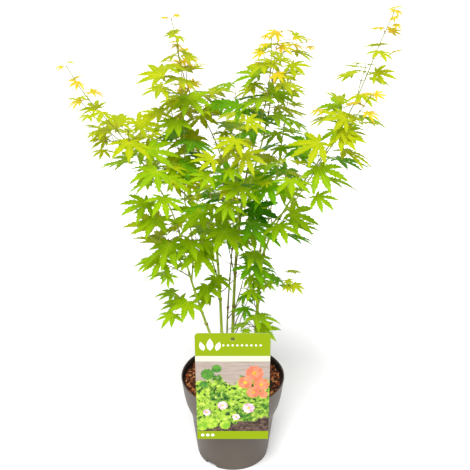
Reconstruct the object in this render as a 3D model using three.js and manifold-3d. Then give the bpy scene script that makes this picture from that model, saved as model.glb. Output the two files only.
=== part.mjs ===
// Young Japanese maple in a nursery pot, with a plain picture card hooked over the rim.
// Millimetres, +Z up. The origin is the middle of the pot's flat underside.
// Azimuths turn from +X towards +Y, and the card stands on the -Y side.
import * as THREE from "three";
import { mergeVertices } from "three/addons/utils/BufferGeometryUtils.js";
import Module from "manifold-3d";

const wasm = await Module();
wasm.setup();

// Clearance that two neighbouring pieces keep
const GAP = 0.3;

// Pot: outer radius at each height, from the foot to the rim
const POT = {
  height: 172,
  wall: 1.6,
  floor: 3,
  foot: 64.5,
  sides: 32,
  heights: [2, 88, 98, 111, 119, 136, 172],
  radii: [66.5, 76.7, 79, 84, 87, 90.5, 95],
};
// Drain cut-outs in the wall's foot, each with a moulded pocket round it inside the pot
const DRAIN = { count: 3, first: -128, width: 22, height: 10, depth: 14, past: 2, steps: 4 };

const COMPOST_TOP = 160;

// Card: a flat sheet in front of the rim, held by a tongue that hooks over it
const CARD = {
  thick: 0.8,
  bottom: 100,
  top: 330,
  topWidth: 130,
  bottomWidth: 127,
  corner: 7,
  holeRadius: 4,
  holeDrop: 12,
  tongueWidth: 26,
  tongueDepth: 5,
  tongueFoot: 162,
  curveSteps: 6,
};

// Stems stand on the compost: foot place, then headings and rises from the foot to the tip
const STEMS = {
  stem_left: {
    foot: [-4, -14], heading: [-172, -165], rise: [72, 73, 77], length: 258, across: [5.4, 3.8],
  },
  stem_mid_left: {
    foot: [-16, 8], heading: [155, 125, 135], rise: [87, 87, 84], length: 275, across: [6, 4.4],
  },
  stem_thin: {
    foot: [-11, 24], heading: [95, 70, 80], rise: [88, 82, 64], length: 270, across: [3.6, 2.4],
  },
  stem_centre: {
    foot: [-2, 0], heading: [70, 45, 25], rise: [88, 87, 82], length: 370, across: [6.6, 4.6],
  },
  stem_right: {
    foot: [38, -4], heading: [-25, -35], rise: [88, 87], length: 262, across: [7, 5.4],
  },
};

// Boughs grow from a stem: at is how far up it, 1 being its tip
const BOUGHS = {
  bough_left_outer: {
    on: "stem_left", at: 1, heading: [-160, -163],
    rise: [78, 80, 70], length: 138, across: [3.4, 2.6],
  },
  bough_left_upright: {
    on: "stem_left", at: 0.94, heading: [62, 110, 140],
    rise: [70, 76, 70], length: 142, across: [3, 2.4],
  },
  bough_mid_left_low: {
    on: "stem_mid_left", at: 1, heading: [156, 163, 166],
    rise: [72, 58, 42], length: 118, across: [3.8, 2.8],
  },
  bough_mid_left_high: {
    on: "stem_mid_left", at: 0.95, heading: [65, 60],
    rise: [66, 72], length: 118, across: [3.4, 2.6],
  },
  bough_centre_left: {
    on: "stem_centre", at: 1, heading: [-36, -45],
    rise: [82, 76], length: 92, across: [4, 3],
  },
  bough_centre_right: {
    on: "stem_centre", at: 0.95, heading: [30, 33],
    rise: [68, 74], length: 136, across: [3.4, 2.6],
  },
  bough_centre_front: {
    on: "stem_centre", at: 0.7, heading: [-95, -85, -80],
    rise: [48, 62, 70], length: 125, across: [2.8, 2.2],
  },
  bough_right_low: {
    on: "stem_right", at: 1, heading: [-105, -30, -16],
    rise: [85, 62, 44], length: 142, across: [4.2, 3],
  },
  bough_right_high: {
    on: "stem_right", at: 0.95, heading: [40, 20, 14],
    rise: [74, 62, 54], length: 160, across: [4, 3],
  },
  bough_back_left: {
    on: "stem_mid_left", at: 0.72, heading: [120, 128, 135],
    rise: [56, 64, 60], length: 150, across: [3, 2.2],
  },
  bough_back_right: {
    on: "stem_right", at: 0.62, heading: [80, 72, 64],
    rise: [58, 68, 62], length: 190, across: [3.4, 2.4],
  },
};

// Masses of foliage: one leader each, with leaf pairs of falling size up to its tip.
// turn is where the first pair stands round the leader, branching the share of side shoots.
const MASSES = {
  spray_left_drooping: {
    on: "bough_left_outer", at: 0.74, heading: [-180, -173], rise: [33, 16], length: 46,
    pairs: 2, leaf: [71, 50], droop: [22, 26], turn: 10, branching: 0,
  },
  spray_left_middle: {
    on: "bough_left_outer", at: 0.35, heading: [-170, -169], rise: [31, 16], length: 42,
    pairs: 2, leaf: [55, 60], droop: [15, 22], turn: 35, branching: 0,
  },
  spray_left_low: {
    on: "stem_left", at: 0.97, heading: [-180, -180], rise: [38, 24], length: 53,
    pairs: 2, leaf: [45, 45], droop: [26, 30], turn: 120, branching: 0,
  },
  spray_left_inner: {
    on: "bough_left_upright", at: 0.48, heading: [-68, -54], rise: [43, 21], length: 35,
    pairs: 2, leaf: [53, 56], droop: [30, 32], turn: 70, branching: 0,
  },
  spray_foot_left: {
    on: "stem_left", at: 0.72, heading: [-158, -170], rise: [24, 13], length: 37,
    pairs: 2, leaf: [44, 43], droop: [22, 32], turn: 30, branching: 0,
  },
  spray_foot_middle: {
    on: "stem_mid_left", at: 0.71, heading: [-122, -108], rise: [33, 14], length: 28,
    pairs: 2, leaf: [26, 46], droop: [30, 29], turn: 70, branching: 0,
  },
  spray_front_left: {
    on: "bough_mid_left_low", at: 0.32, heading: [-93, -74], rise: [43, 27], length: 79,
    pairs: 3, leaf: [51, 56], droop: [18, 27], turn: 130, branching: 0,
  },
  spray_middle_high: {
    on: "bough_mid_left_high", at: 0.56, heading: [-60, -74], rise: [40, 34], length: 86,
    pairs: 3, leaf: [48, 67], droop: [26, 32], turn: 65, branching: 0,
  },
  spray_front_middle: {
    on: "stem_centre", at: 0.8, heading: [-69, -61], rise: [21, 10], length: 67,
    pairs: 3, leaf: [36, 50], droop: [30, 24], turn: 0, branching: 0,
  },
  spray_foot_shoot: {
    on: "stem_centre", at: 0.39, heading: [-39, -56, -58], rise: [72, 72, 75], length: 126,
    pairs: 2, leaf: [41, 57], droop: [19, 26], turn: 160, branching: 0,
  },
  spray_right_low: {
    on: "stem_right", at: 0.46, heading: [-130, -65], rise: [44, 22], length: 35,
    pairs: 2, leaf: [30, 46], droop: [14, 30], turn: 170, branching: 0,
  },
  spray_right_side: {
    on: "stem_right", at: 0.77, heading: [-8, -1], rise: [39, 9], length: 59,
    pairs: 2, leaf: [33, 31], droop: [29, 28], turn: 100, branching: 0,
  },
  spray_right_middle: {
    on: "bough_right_low", at: 0.47, heading: [-11, -37], rise: [37, 22], length: 42,
    pairs: 3, leaf: [47, 58], droop: [14, 26], turn: 75, branching: 0,
  },
  spray_right_inner: {
    on: "bough_right_high", at: 0.44, heading: [96, 116], rise: [35, 40], length: 80,
    pairs: 3, leaf: [46, 58], droop: [30, 32], turn: 90, branching: 0,
  },
  spray_back_low: {
    on: "stem_centre", at: 0.59, heading: [105, 104], rise: [44, 24], length: 92,
    pairs: 3, leaf: [50, 57], droop: [32, 32], turn: 20, branching: 0,
  },
  foliage_left_outer: {
    on: "bough_left_outer", at: 1, heading: [-169, -180, -166, -180], rise: [68, 58, 53, 65],
    length: 295,
    pairs: 8, leaf: [60, 54, 33, 15], droop: [28, 10], turn: 10, branching: 0.3,
  },
  foliage_left_upright: {
    on: "bough_left_upright", at: 1, heading: [73, 94, 105, 167], rise: [82, 85, 80, 76],
    length: 311,
    pairs: 8, leaf: [56, 54, 43, 15], droop: [28, 8], turn: 40, branching: 0.3,
  },
  foliage_mid_left_low: {
    on: "bough_mid_left_low", at: 1, heading: [172, 168, 178], rise: [40, 38, 55], length: 230,
    pairs: 6, leaf: [55, 45, 36, 21], droop: [24, 4], turn: 160, branching: 0.35,
  },
  foliage_mid_left_high: {
    on: "bough_mid_left_high", at: 1, heading: [137, 167, 175], rise: [78, 60, 82],
    length: 264,
    pairs: 7, leaf: [50, 54, 36, 15], droop: [21, 8], turn: 10, branching: 0.35,
  },
  foliage_centre_left: {
    on: "bough_centre_left", at: 1, heading: [-42, -45, -80], rise: [71, 75, 92], length: 216,
    pairs: 7, leaf: [60, 53, 44, 16], droop: [27, 8], turn: 15, branching: 0.35,
  },
  foliage_centre_right: {
    on: "bough_centre_right", at: 1, heading: [43, 39, 30], rise: [72, 86, 77], length: 169,
    pairs: 6, leaf: [54, 43, 36, 23], droop: [28, 8], turn: 20, branching: 0.35,
  },
  foliage_right_high: {
    on: "bough_right_high", at: 1, heading: [19, -3, 5, 9], rise: [53, 62, 72, 68],
    length: 335,
    pairs: 8, leaf: [63, 54, 37, 18], droop: [22, 8], turn: 75, branching: 0.3,
  },
  foliage_right_low: {
    on: "bough_right_low", at: 1, heading: [0, -16, -28, 7], rise: [59, 64, 56, 59],
    length: 238,
    pairs: 7, leaf: [62, 58, 45, 20], droop: [25, 10], turn: 120, branching: 0.35,
  },
  foliage_thin: {
    on: "stem_thin", at: 1, heading: [94, 72, 44], rise: [72, 63, 83], length: 219,
    pairs: 6, leaf: [58, 35], droop: [28, 7], turn: 0, branching: 0.3,
  },
  foliage_front: {
    on: "bough_centre_front", at: 1, heading: [-98, -72], rise: [64, 84], length: 202,
    pairs: 6, leaf: [58, 35], droop: [28, 15], turn: 45, branching: 0.35,
  },
  foliage_back_left: {
    on: "bough_back_left", at: 1, heading: [135, 122, 124], rise: [59, 71, 75], length: 209,
    pairs: 7, leaf: [60, 54, 46, 21], droop: [12, 10], turn: 150, branching: 0.35,
  },
  foliage_back_right: {
    on: "bough_back_right", at: 1, heading: [72, 65, 45], rise: [55, 73, 82], length: 220,
    pairs: 7, leaf: [60, 54, 36, 21], droop: [28, 9], turn: 85, branching: 0.35,
  },
};

// Leaf: seven pointed lobes about the place where the stalk joins, as angle and reach
const LOBES = [[0, 1], [36, 0.93], [74, 0.72], [120, 0.42]];
const NOTCHES = [[18, 0.36], [55, 0.33], [96, 0.24], [163, 0.07]];
const LEAF = { thick: 1.9, curl: 0.16, stalk: 0.48, stalkRadius: 0.5, spread: 58, lift: 0.1 };
// How far a leaf or shoot may differ from the rule: in degrees, or in shares of its size
const VARY = { turn: 14, spread: 10, stalk: 0.25, azimuth: 26, droop: 14, roll: 22, size: 0.12, shoot: 20 };
// Pairs stand closer towards the tip, and side shoots only below this share of the leader
const PAIRS = { crowding: 0.85, shootsBelow: 0.75 };
// Tries at a leaf's place before it is left out: turned and dropped by these degrees
const TRIES = [[0, 0], [26, 8], [-26, 8], [52, -8], [-52, -8], [12, 26], [-12, -24], [78, 12], [-78, 12]];

const TWIG = { step: 36, sides: 4, across: [2.8, 2] };
const SHOOT = { length: [46, 78], rise: [34, 16], pairs: 2, share: 0.86, across: [2.4, 2] };
const LIMB = { step: 26, sides: 6, flare: 0.55, flareHeight: 14, footRing: 3 };
// Room kept round each piece while leaves are placed
const ROOM = { leaf: 1.6, edge: 1.03, twig: 1.2, corner: 1.5, card: 2, stalk: [0.2, 0.8] };
// Edges shorter than this are merged once a mass is joined
const SLIVER = 0.2;
// Rise per length from which a route counts as steep
const STEEP = 0.8;

const COLOURS = {
  pot: [0x736a60, 0.55],
  compost: [0x4a2f22, 0.95],
  card: [0xa9c62c, 0.4],
  stem: [0x7f9a2c, 0.6],
  leaf: [0x86b818, 0.55],
};

const up = new THREE.Vector3(0, 0, 1);
const lerp = THREE.MathUtils.lerp;
const radians = THREE.MathUtils.degToRad;

// Repeatable number from 0 to 1 for a set of whole-number keys
function chance(...keys) {
  let state = 7;
  for (const key of [...keys, 3, 5]) {
    state = ((state * 31 + key + 1) * 48271) % 2147483647;
  }
  return state / 2147483647;
}

function spread(amount, ...keys) {
  return amount * (2 * chance(...keys) - 1);
}

function heading(azimuth, rise) {
  const level = Math.cos(radians(rise));
  const x = level * Math.cos(radians(azimuth));
  const y = level * Math.sin(radians(azimuth));
  return new THREE.Vector3(x, y, Math.sin(radians(rise)));
}

// Value at t, from 0 to 1, in a short row of evenly spaced sizes
function along(sizes, t) {
  const place = t * (sizes.length - 1);
  const before = Math.min(Math.floor(place), sizes.length - 2);
  return lerp(sizes[before], sizes[before + 1], place - before);
}

// Route of a shoot in equal steps, each turned to the headings and rises of its sizes
function route(start, shoot, step) {
  const count = Math.max(3, Math.round(shoot.length / step));
  const points = [start.clone()];
  for (let i = 0; i < count; i += 1) {
    const t = (i + 0.5) / count;
    const onward = heading(along(shoot.heading, t), along(shoot.rise, t));
    points.push(points[i].clone().addScaledVector(onward, shoot.length / count));
  }
  return points;
}

function pointAt(points, t) {
  const place = t * (points.length - 1);
  const before = Math.min(Math.floor(place), points.length - 2);
  return points[before].clone().lerp(points[before + 1], place - before);
}

function directionAt(points, t) {
  const place = t * (points.length - 1);
  const before = Math.min(Math.floor(place), points.length - 2);
  return points[before + 1].clone().sub(points[before]).normalize();
}

// Direction at point i, shared by the two steps that meet there
function directionOf(points, i) {
  const next = points[Math.min(i + 1, points.length - 1)];
  const last = points[Math.max(i - 1, 0)];
  return next.clone().sub(last).normalize();
}

// Two directions across a route, steady along its whole length.
// A steep route takes +X as its reference, and any other takes the upright.
function across(points, i) {
  const whole = points.at(-1).clone().sub(points[0]).normalize();
  const reference = whole.z > STEEP ? new THREE.Vector3(1, 0, 0) : up;
  const onward = directionOf(points, i);
  const side = reference.clone().cross(onward).normalize();
  return [side, side.clone().cross(onward)];
}

function closed(geometry) {
  geometry.deleteAttribute("normal");
  geometry.deleteAttribute("uv");
  return mergeVertices(geometry);
}

// A cylinder bent along a route, with a radius for each share of its length
function tube(points, radiusAt, sides) {
  const rings = points.length - 1;
  const geometry = closed(new THREE.CylinderGeometry(1, 1, 1, sides, rings));
  const place = geometry.getAttribute("position");
  const frames = points.map((point, i) => across(points, i));
  for (let k = 0; k < place.count; k += 1) {
    const i = Math.round((place.getY(k) + 0.5) * rings);
    const radius = radiusAt(i / rings);
    const spot = points[i].clone();
    spot.addScaledVector(frames[i][0], place.getX(k) * radius);
    spot.addScaledVector(frames[i][1], place.getZ(k) * radius);
    place.setXYZ(k, spot.x, spot.y, spot.z);
  }
  return geometry;
}

function solidOf(geometry) {
  const vertProperties = new Float32Array(geometry.getAttribute("position").array);
  const triVerts = new Uint32Array(geometry.getIndex().array);
  return new wasm.Manifold(new wasm.Mesh({ numProp: 3, vertProperties, triVerts }));
}

// The largest connected body of a solid, without loose scraps
function mainBody(solid) {
  const bodies = solid.decompose();
  return bodies.reduce((best, body) => (body.volume() > best.volume() ? body : best));
}

function meshOf(name, solid, [colour, roughness]) {
  const result = solid.getMesh();
  const geometry = new THREE.BufferGeometry();
  geometry.setAttribute("position", new THREE.BufferAttribute(result.vertProperties, 3));
  geometry.setIndex(new THREE.BufferAttribute(result.triVerts, 1));
  geometry.computeVertexNormals();
  const material = new THREE.MeshStandardMaterial({ color: colour, roughness, metalness: 0 });
  const mesh = new THREE.Mesh(geometry, material);
  mesh.name = name;
  return mesh;
}

// A profile of radius and height turned about the pot's axis
function turned(profile) {
  const outline = profile.map(([radius, height]) => new THREE.Vector2(radius, height));
  const geometry = new THREE.LatheGeometry(outline, POT.sides);
  geometry.rotateX(Math.PI / 2);
  return solidOf(closed(geometry));
}

function wallPoints(inset) {
  return POT.heights.map((height, i) => [POT.radii[i] - inset, height]);
}

function innerPoints(inset, low, high) {
  const inside = wallPoints(POT.wall + inset).filter(([, height]) => height > low && height < high);
  const wall = wallPoints(POT.wall + inset);
  const radiusAt = (height) => {
    const next = wall.findIndex(([, level]) => level >= height);
    const [r0, z0] = wall[next - 1];
    const [r1, z1] = wall[next];
    return lerp(r0, r1, (height - z0) / (z1 - z0));
  };
  return [[radiusAt(low), low], ...inside, [radiusAt(high), high]];
}

// A curved block at the foot of the wall: a cut-out, grown by a margin on its hidden sides
function drainBlock(azimuth, margin) {
  const outer = POT.radii[0] + DRAIN.past;
  const inner = outer - DRAIN.depth - margin;
  const half = radians(DRAIN.width / 2) + margin / inner;
  const shape = new THREE.Shape();
  shape.absarc(0, 0, outer, -half, half, false);
  shape.absarc(0, 0, inner, half, -half, true);
  shape.closePath();
  const geometry = new THREE.ExtrudeGeometry(shape, {
    depth: DRAIN.height + DRAIN.past + margin, bevelEnabled: false, curveSegments: DRAIN.steps,
  });
  geometry.translate(0, 0, -DRAIN.past);
  geometry.rotateZ(radians(azimuth));
  return solidOf(closed(geometry));
}

function drainAzimuths() {
  return Array.from({ length: DRAIN.count }, (_, i) => DRAIN.first + (i * 360) / DRAIN.count);
}

function makePot() {
  const outside = [[0, 0], [POT.foot, 0], ...wallPoints(0)];
  const inside = innerPoints(0, POT.floor, POT.height).reverse();
  const block = turned([...outside, [0, POT.height]]);
  let pot = turned([...outside, ...inside, [0, POT.floor]]);
  for (const azimuth of drainAzimuths()) {
    const pocket = drainBlock(azimuth, POT.wall).intersect(block);
    pot = pot.add(pocket).subtract(drainBlock(azimuth, 0));
  }
  return pot;
}

function makeCompost() {
  const side = innerPoints(GAP, POT.floor + GAP, COMPOST_TOP);
  const profile = [[0, POT.floor + GAP], ...side, [0, COMPOST_TOP]];
  let compost = turned(profile);
  for (const azimuth of drainAzimuths()) {
    compost = compost.subtract(drainBlock(azimuth, POT.wall + GAP));
  }
  return compost;
}

function cardOutline() {
  const { bottom, top, corner } = CARD;
  const halfTop = CARD.topWidth / 2;
  const halfBottom = CARD.bottomWidth / 2;
  const shape = new THREE.Shape();
  shape.moveTo(-halfBottom, bottom);
  shape.lineTo(halfBottom, bottom);
  shape.lineTo(halfTop, top - corner);
  shape.quadraticCurveTo(halfTop, top, halfTop - corner, top);
  shape.lineTo(-halfTop + corner, top);
  shape.quadraticCurveTo(-halfTop, top, -halfTop, top - corner);
  shape.closePath();
  const hole = new THREE.Path();
  hole.absarc(0, top - CARD.holeDrop, CARD.holeRadius, 0, 2 * Math.PI, true);
  shape.holes.push(hole);
  return shape;
}

// The tongue goes over the rim and down inside it
function tongueOutline() {
  const front = -POT.radii.at(-1) - GAP;
  const back = front + CARD.tongueDepth;
  const over = POT.height + GAP;
  const shape = new THREE.Shape();
  shape.moveTo(front - CARD.thick / 2, over);
  shape.lineTo(back, over);
  shape.lineTo(back, CARD.tongueFoot);
  shape.lineTo(back + CARD.thick, CARD.tongueFoot);
  shape.lineTo(back + CARD.thick, over + CARD.thick);
  shape.lineTo(front - CARD.thick / 2, over + CARD.thick);
  shape.closePath();
  return shape;
}

function makeCard() {
  const sheet = new THREE.ExtrudeGeometry(cardOutline(), {
    depth: CARD.thick, bevelEnabled: false, curveSegments: CARD.curveSteps,
  });
  sheet.rotateX(Math.PI / 2);
  sheet.translate(0, -POT.radii.at(-1) - GAP, 0);
  const tongue = new THREE.ExtrudeGeometry(tongueOutline(), {
    depth: CARD.tongueWidth, bevelEnabled: false,
  });
  tongue.translate(0, 0, -CARD.tongueWidth / 2);
  tongue.rotateX(Math.PI / 2);
  tongue.rotateZ(Math.PI / 2);
  return solidOf(closed(sheet)).add(solidOf(closed(tongue)));
}

// Where a shoot starts: on the compost, or on the middle line of the limb that bears it
function startOf(shoot) {
  if (shoot.foot) {
    return new THREE.Vector3(shoot.foot[0], shoot.foot[1], COMPOST_TOP + GAP);
  }
  return pointAt(limbs[shoot.on].points, shoot.at);
}

function limbRadius(limb, t) {
  const plain = along(limb.across, t) / 2;
  const height = t * limb.length;
  const flare = limb.foot ? LIMB.flare * Math.exp(-height / LIMB.flareHeight) : 0;
  return plain * (1 + flare);
}

// A stem's foot is cut level, so its first ring is laid flat on the compost
function levelFoot(geometry) {
  const place = geometry.getAttribute("position");
  const floor = COMPOST_TOP + GAP;
  for (let k = 0; k < place.count; k += 1) {
    if (place.getZ(k) < floor + LIMB.footRing) {
      place.setZ(k, floor);
    }
  }
  return geometry;
}

function limbSolid(limb, grow) {
  const geometry = tube(limb.points, (t) => limbRadius(limb, t) + grow, LIMB.sides);
  if (limb.foot && grow === 0) {
    levelFoot(geometry);
  }
  return solidOf(geometry);
}

// The limb with room round it, and past its tip, for whatever grows from it
function clearance(limb) {
  const tip = limb.points.at(-1);
  const past = tip.clone().addScaledVector(directionAt(limb.points, 1), GAP);
  const longer = { ...limb, points: [...limb.points.slice(0, -1), past] };
  return limbSolid({ ...longer, foot: undefined }, GAP);
}

function twigSolid(points, sizes) {
  return solidOf(tube(points, (t) => along(sizes, t) / 2, TWIG.sides));
}

// Outline of a leaf of reach 1, as angle and reach, from one side of the stalk round to the other
function leafOutline() {
  const half = [];
  LOBES.forEach((lobe, i) => half.push(lobe, NOTCHES[i]));
  const other = half.slice(1).map(([angle, reach]) => [-angle, reach]);
  return [...other.reverse(), ...half];
}

// A leaf's own directions: ahead along its middle lobe, aside, and up from its face
function leafAxes(leaf) {
  const ahead = heading(leaf.azimuth, -leaf.droop);
  const level = up.clone().cross(ahead).normalize();
  const aside = level.applyAxisAngle(ahead, radians(leaf.roll));
  return [ahead, aside, ahead.clone().cross(aside)];
}

// Faces of a blade: a seven-pointed star with one raised point above and one below
function bladeFaces(leaf, thick, edge) {
  const [ahead, aside, above] = leafAxes(leaf);
  const places = [
    leaf.base.clone().addScaledVector(above, thick / 2),
    leaf.base.clone().addScaledVector(above, -thick / 2),
  ];
  for (const [angle, reach] of leafOutline()) {
    const far = leaf.size * reach * edge;
    const place = leaf.base.clone();
    place.addScaledVector(ahead, far * Math.cos(radians(angle)));
    place.addScaledVector(aside, far * Math.sin(radians(angle)));
    place.addScaledVector(above, -LEAF.curl * leaf.size * reach * reach);
    places.push(place);
  }
  const faces = [];
  for (let here = 2; here + 1 < places.length; here += 1) {
    faces.push([0, here, here + 1], [1, here + 1, here]);
  }
  faces.push([1, 2, places.length - 1]);
  return { places, faces };
}

// A blade drawn out at its back into the stalk, which ends inside the twig.
// The stalk leaves the blade's under side where its foot lies lower, and its upper side otherwise.
function leafFaces(leaf) {
  const { places, faces } = bladeFaces(leaf, LEAF.thick, 1);
  const [, level, upward] = leafAxes(leaf);
  const way = leaf.base.clone().sub(leaf.from).normalize();
  const aside = level.clone().addScaledVector(way, -level.dot(way)).normalize();
  const above = way.clone().cross(aside);
  const last = places.length - 1;
  const under = way.dot(upward) > 0;
  const near = under ? [1, last, 2] : [0, 2, last];
  if (under) {
    faces[faces.length - 1] = [0, last, 2];
  }
  for (const angle of under ? [270, 30, 150] : [90, 210, 330]) {
    const place = leaf.from.clone();
    place.addScaledVector(above, LEAF.stalkRadius * Math.sin(radians(angle)));
    place.addScaledVector(aside, LEAF.stalkRadius * Math.cos(radians(angle)));
    places.push(place);
  }
  const far = [last + 1, last + 2, last + 3];
  for (const k of [0, 1, 2]) {
    const next = (k + 1) % 3;
    faces.push([near[next], near[k], far[k]], [near[next], far[k], far[next]]);
  }
  faces.push(far.reverse());
  return { places, faces };
}

function facesOf(geometry) {
  const place = geometry.getAttribute("position");
  const places = [];
  for (let k = 0; k < place.count; k += 1) {
    places.push(new THREE.Vector3().fromBufferAttribute(place, k));
  }
  const index = [...geometry.getIndex().array];
  const faces = [];
  while (index.length) {
    faces.push(index.splice(0, 3));
  }
  return { places, faces };
}

function geometryOf({ places, faces }) {
  const geometry = new THREE.BufferGeometry();
  const flat = places.flatMap((place) => [place.x, place.y, place.z]);
  geometry.setAttribute("position", new THREE.Float32BufferAttribute(flat, 3));
  geometry.setIndex(faces.flat());
  return geometry;
}

// Guard: the faces, edges and box of a piece with room round it, to find what it would touch
function guardOf({ places, faces }, owner) {
  const edges = new Map();
  for (const [a, b, c] of faces) {
    for (const [p, q] of [[a, b], [b, c], [c, a]]) {
      edges.set(`${Math.min(p, q)} ${Math.max(p, q)}`, [places[p], places[q]]);
    }
  }
  const triangles = faces.map((face) => face.map((k) => places[k]));
  return { owner, triangles, edges: [...edges.values()], box: new THREE.Box3().setFromPoints(places) };
}

function guardOfTube(points, radiusAt, owner) {
  const guards = [];
  for (let i = 0; i + 1 < points.length; i += 1) {
    const t = (i + 0.5) / (points.length - 1);
    const geometry = tube([points[i], points[i + 1]], () => radiusAt(t) * ROOM.corner + ROOM.twig, 4);
    guards.push(guardOf(facesOf(geometry), owner));
  }
  return guards;
}

// Whether the stretch from p to q passes through the triangle a, b, c
function pierces([p, q], [a, b, c]) {
  const ray = q.clone().sub(p);
  const first = b.clone().sub(a);
  const second = c.clone().sub(a);
  const turned = ray.clone().cross(second);
  const size = first.dot(turned);
  if (Math.abs(size) < 1e-9) {
    return false;
  }
  const away = p.clone().sub(a);
  const u = away.dot(turned) / size;
  const crossed = away.clone().cross(first);
  const v = ray.dot(crossed) / size;
  const far = second.dot(crossed) / size;
  return u >= 0 && v >= 0 && u + v <= 1 && far >= 0 && far <= 1;
}

function touches(one, other) {
  if (!one.box.intersectsBox(other.box)) {
    return false;
  }
  const through = (a, b) => a.edges.some((edge) => b.triangles.some((face) => pierces(edge, face)));
  return through(one, other) || through(other, one);
}

// Whether a guard stands free of all that is placed, apart from its own bearer
function isFree(guard, bearer) {
  return !placed.some((other) => other.owner !== bearer && touches(guard, other));
}

function makeLeaf(twig, t, side, size, droop, attempt, keys) {
  const onward = directionAt(twig.points, t);
  const flat = up.clone().cross(onward).normalize();
  const raised = onward.clone().cross(flat);
  const [swing, drop] = TRIES[attempt];
  const turn = radians(side + spread(VARY.turn, ...keys, 1));
  const outward = flat.multiplyScalar(Math.cos(turn)).addScaledVector(raised, Math.sin(turn));
  const open = radians(LEAF.spread + spread(VARY.spread, ...keys, 2));
  const stalkWay = onward.multiplyScalar(Math.cos(open)).addScaledVector(outward, Math.sin(open));
  stalkWay.z += LEAF.lift;
  stalkWay.applyAxisAngle(up, radians(swing / 2)).normalize();
  const length = size * LEAF.stalk * (1 + spread(VARY.stalk, ...keys, 3));
  const from = pointAt(twig.points, t);
  const azimuth = THREE.MathUtils.radToDeg(Math.atan2(stalkWay.y, stalkWay.x));
  return {
    from,
    base: from.clone().addScaledVector(stalkWay, length),
    azimuth: azimuth + spread(VARY.azimuth, ...keys, 4) + swing / 2,
    droop: droop + spread(VARY.droop, ...keys, 5) + drop,
    roll: spread(VARY.roll, ...keys, 6),
    size,
  };
}

// One leaf at its first free place, or none
function placeLeaf(twig, t, side, size, droop, keys) {
  for (let attempt = 0; attempt < TRIES.length; attempt += 1) {
    const leaf = makeLeaf(twig, t, side, size, droop, attempt, keys);
    const blade = guardOf(bladeFaces(leaf, LEAF.thick + 2 * ROOM.leaf, ROOM.edge), "blade");
    const start = leaf.from.clone().lerp(leaf.base, ROOM.stalk[0]);
    const end = leaf.from.clone().lerp(leaf.base, ROOM.stalk[1]);
    const stalk = guardOfTube([start, end], () => LEAF.stalkRadius, twig.owner)[0];
    if (isFree(blade, null) && isFree(stalk, twig.owner)) {
      placed.push(blade, stalk);
      return leaf;
    }
  }
  return null;
}

function addTwig(mass, points, sizes, owner) {
  const twig = { points, sizes, owner };
  placed.push(...guardOfTube(points, (t) => along(sizes, t) / 2, owner));
  mass.twigs.push(twig);
  return twig;
}

// A side shoot with its own pairs of leaves, or null where it would touch something
function placeShoot(mass, leader, t, side, keys) {
  const onward = directionAt(leader.points, t);
  const flat = up.clone().cross(onward).normalize();
  const raised = onward.clone().cross(flat);
  const turn = radians(side);
  const outward = flat.multiplyScalar(Math.cos(turn)).addScaledVector(raised, Math.sin(turn));
  const azimuth = THREE.MathUtils.radToDeg(Math.atan2(outward.y, outward.x));
  const sizes = {
    length: lerp(...SHOOT.length, chance(...keys, 7)),
    heading: [azimuth, azimuth + spread(VARY.shoot, ...keys, 8)],
    rise: SHOOT.rise,
  };
  const points = route(pointAt(leader.points, t), sizes, TWIG.step);
  const owner = `${leader.owner} ${keys.join(" ")}`;
  const guards = guardOfTube(points, () => SHOOT.across[0] / 2, owner);
  if (!guards.every((guard) => isFree(guard, leader.owner))) {
    return null;
  }
  return addTwig(mass, points, SHOOT.across, owner);
}

// Pairs of leaves up a twig, each pair a quarter turn on from the last
function leafPairs(mass, twig, sizes, seed) {
  const branches = [];
  for (let pair = 0; pair < sizes.pairs; pair += 1) {
    const share = (pair + 1) / sizes.pairs;
    const t = share ** PAIRS.crowding;
    for (const half of [0, 1]) {
      const keys = [seed, pair, half];
      const side = sizes.turn + 90 * pair + 180 * half;
      const shooting = share < PAIRS.shootsBelow && chance(...keys, 9) < sizes.branching;
      const size = along(sizes.leaf, t) * (1 + spread(VARY.size, ...keys, 10));
      const shoot = shooting ? placeShoot(mass, twig, t, side, keys) : null;
      if (shoot) {
        branches.push([shoot, size, along(sizes.droop, t), keys]);
        continue;
      }
      const leaf = placeLeaf(twig, t, side, size, along(sizes.droop, t), keys);
      if (leaf) {
        mass.leaves.push(leaf);
      }
    }
  }
  return branches;
}

function growMass(mass, seed) {
  const branches = leafPairs(mass, mass.twigs[0], mass.sizes, seed);
  branches.forEach(([shoot, size, droop], i) => {
    const sizes = {
      pairs: SHOOT.pairs,
      leaf: [size * SHOOT.share, size * SHOOT.share],
      droop: [droop, droop],
      turn: 0,
      branching: 0,
    };
    leafPairs(mass, shoot, sizes, 100 * (seed + 1) + i);
  });
}

function massSolid(mass) {
  let solid = twigSolid(mass.twigs[0].points, mass.twigs[0].sizes);
  for (const twig of mass.twigs.slice(1)) {
    solid = solid.add(twigSolid(twig.points, twig.sizes));
  }
  for (const leaf of mass.leaves) {
    solid = solid.add(solidOf(geometryOf(leafFaces(leaf))));
  }
  const clear = solid.subtract(clearance(limbs[mass.sizes.on]));
  return mainBody(clear.asOriginal().simplify(SLIVER));
}

// The card as a block with room round it, to keep leaves off it
function cardGuard() {
  const depth = CARD.tongueDepth + 2 * CARD.thick + 2 * ROOM.card;
  const block = new THREE.BoxGeometry(CARD.topWidth, depth, CARD.top - CARD.bottom + 2 * ROOM.card);
  block.translate(0, -POT.radii.at(-1) + CARD.tongueDepth / 2, (CARD.top + CARD.bottom) / 2);
  return guardOf(facesOf(closed(block)), "card");
}

// Limbs first, then every leader, then the leaves, each keeping clear of what is there
const limbs = {};
for (const [name, sizes] of Object.entries({ ...STEMS, ...BOUGHS })) {
  limbs[name] = { ...sizes, points: route(startOf(sizes), sizes, LIMB.step) };
}

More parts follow.
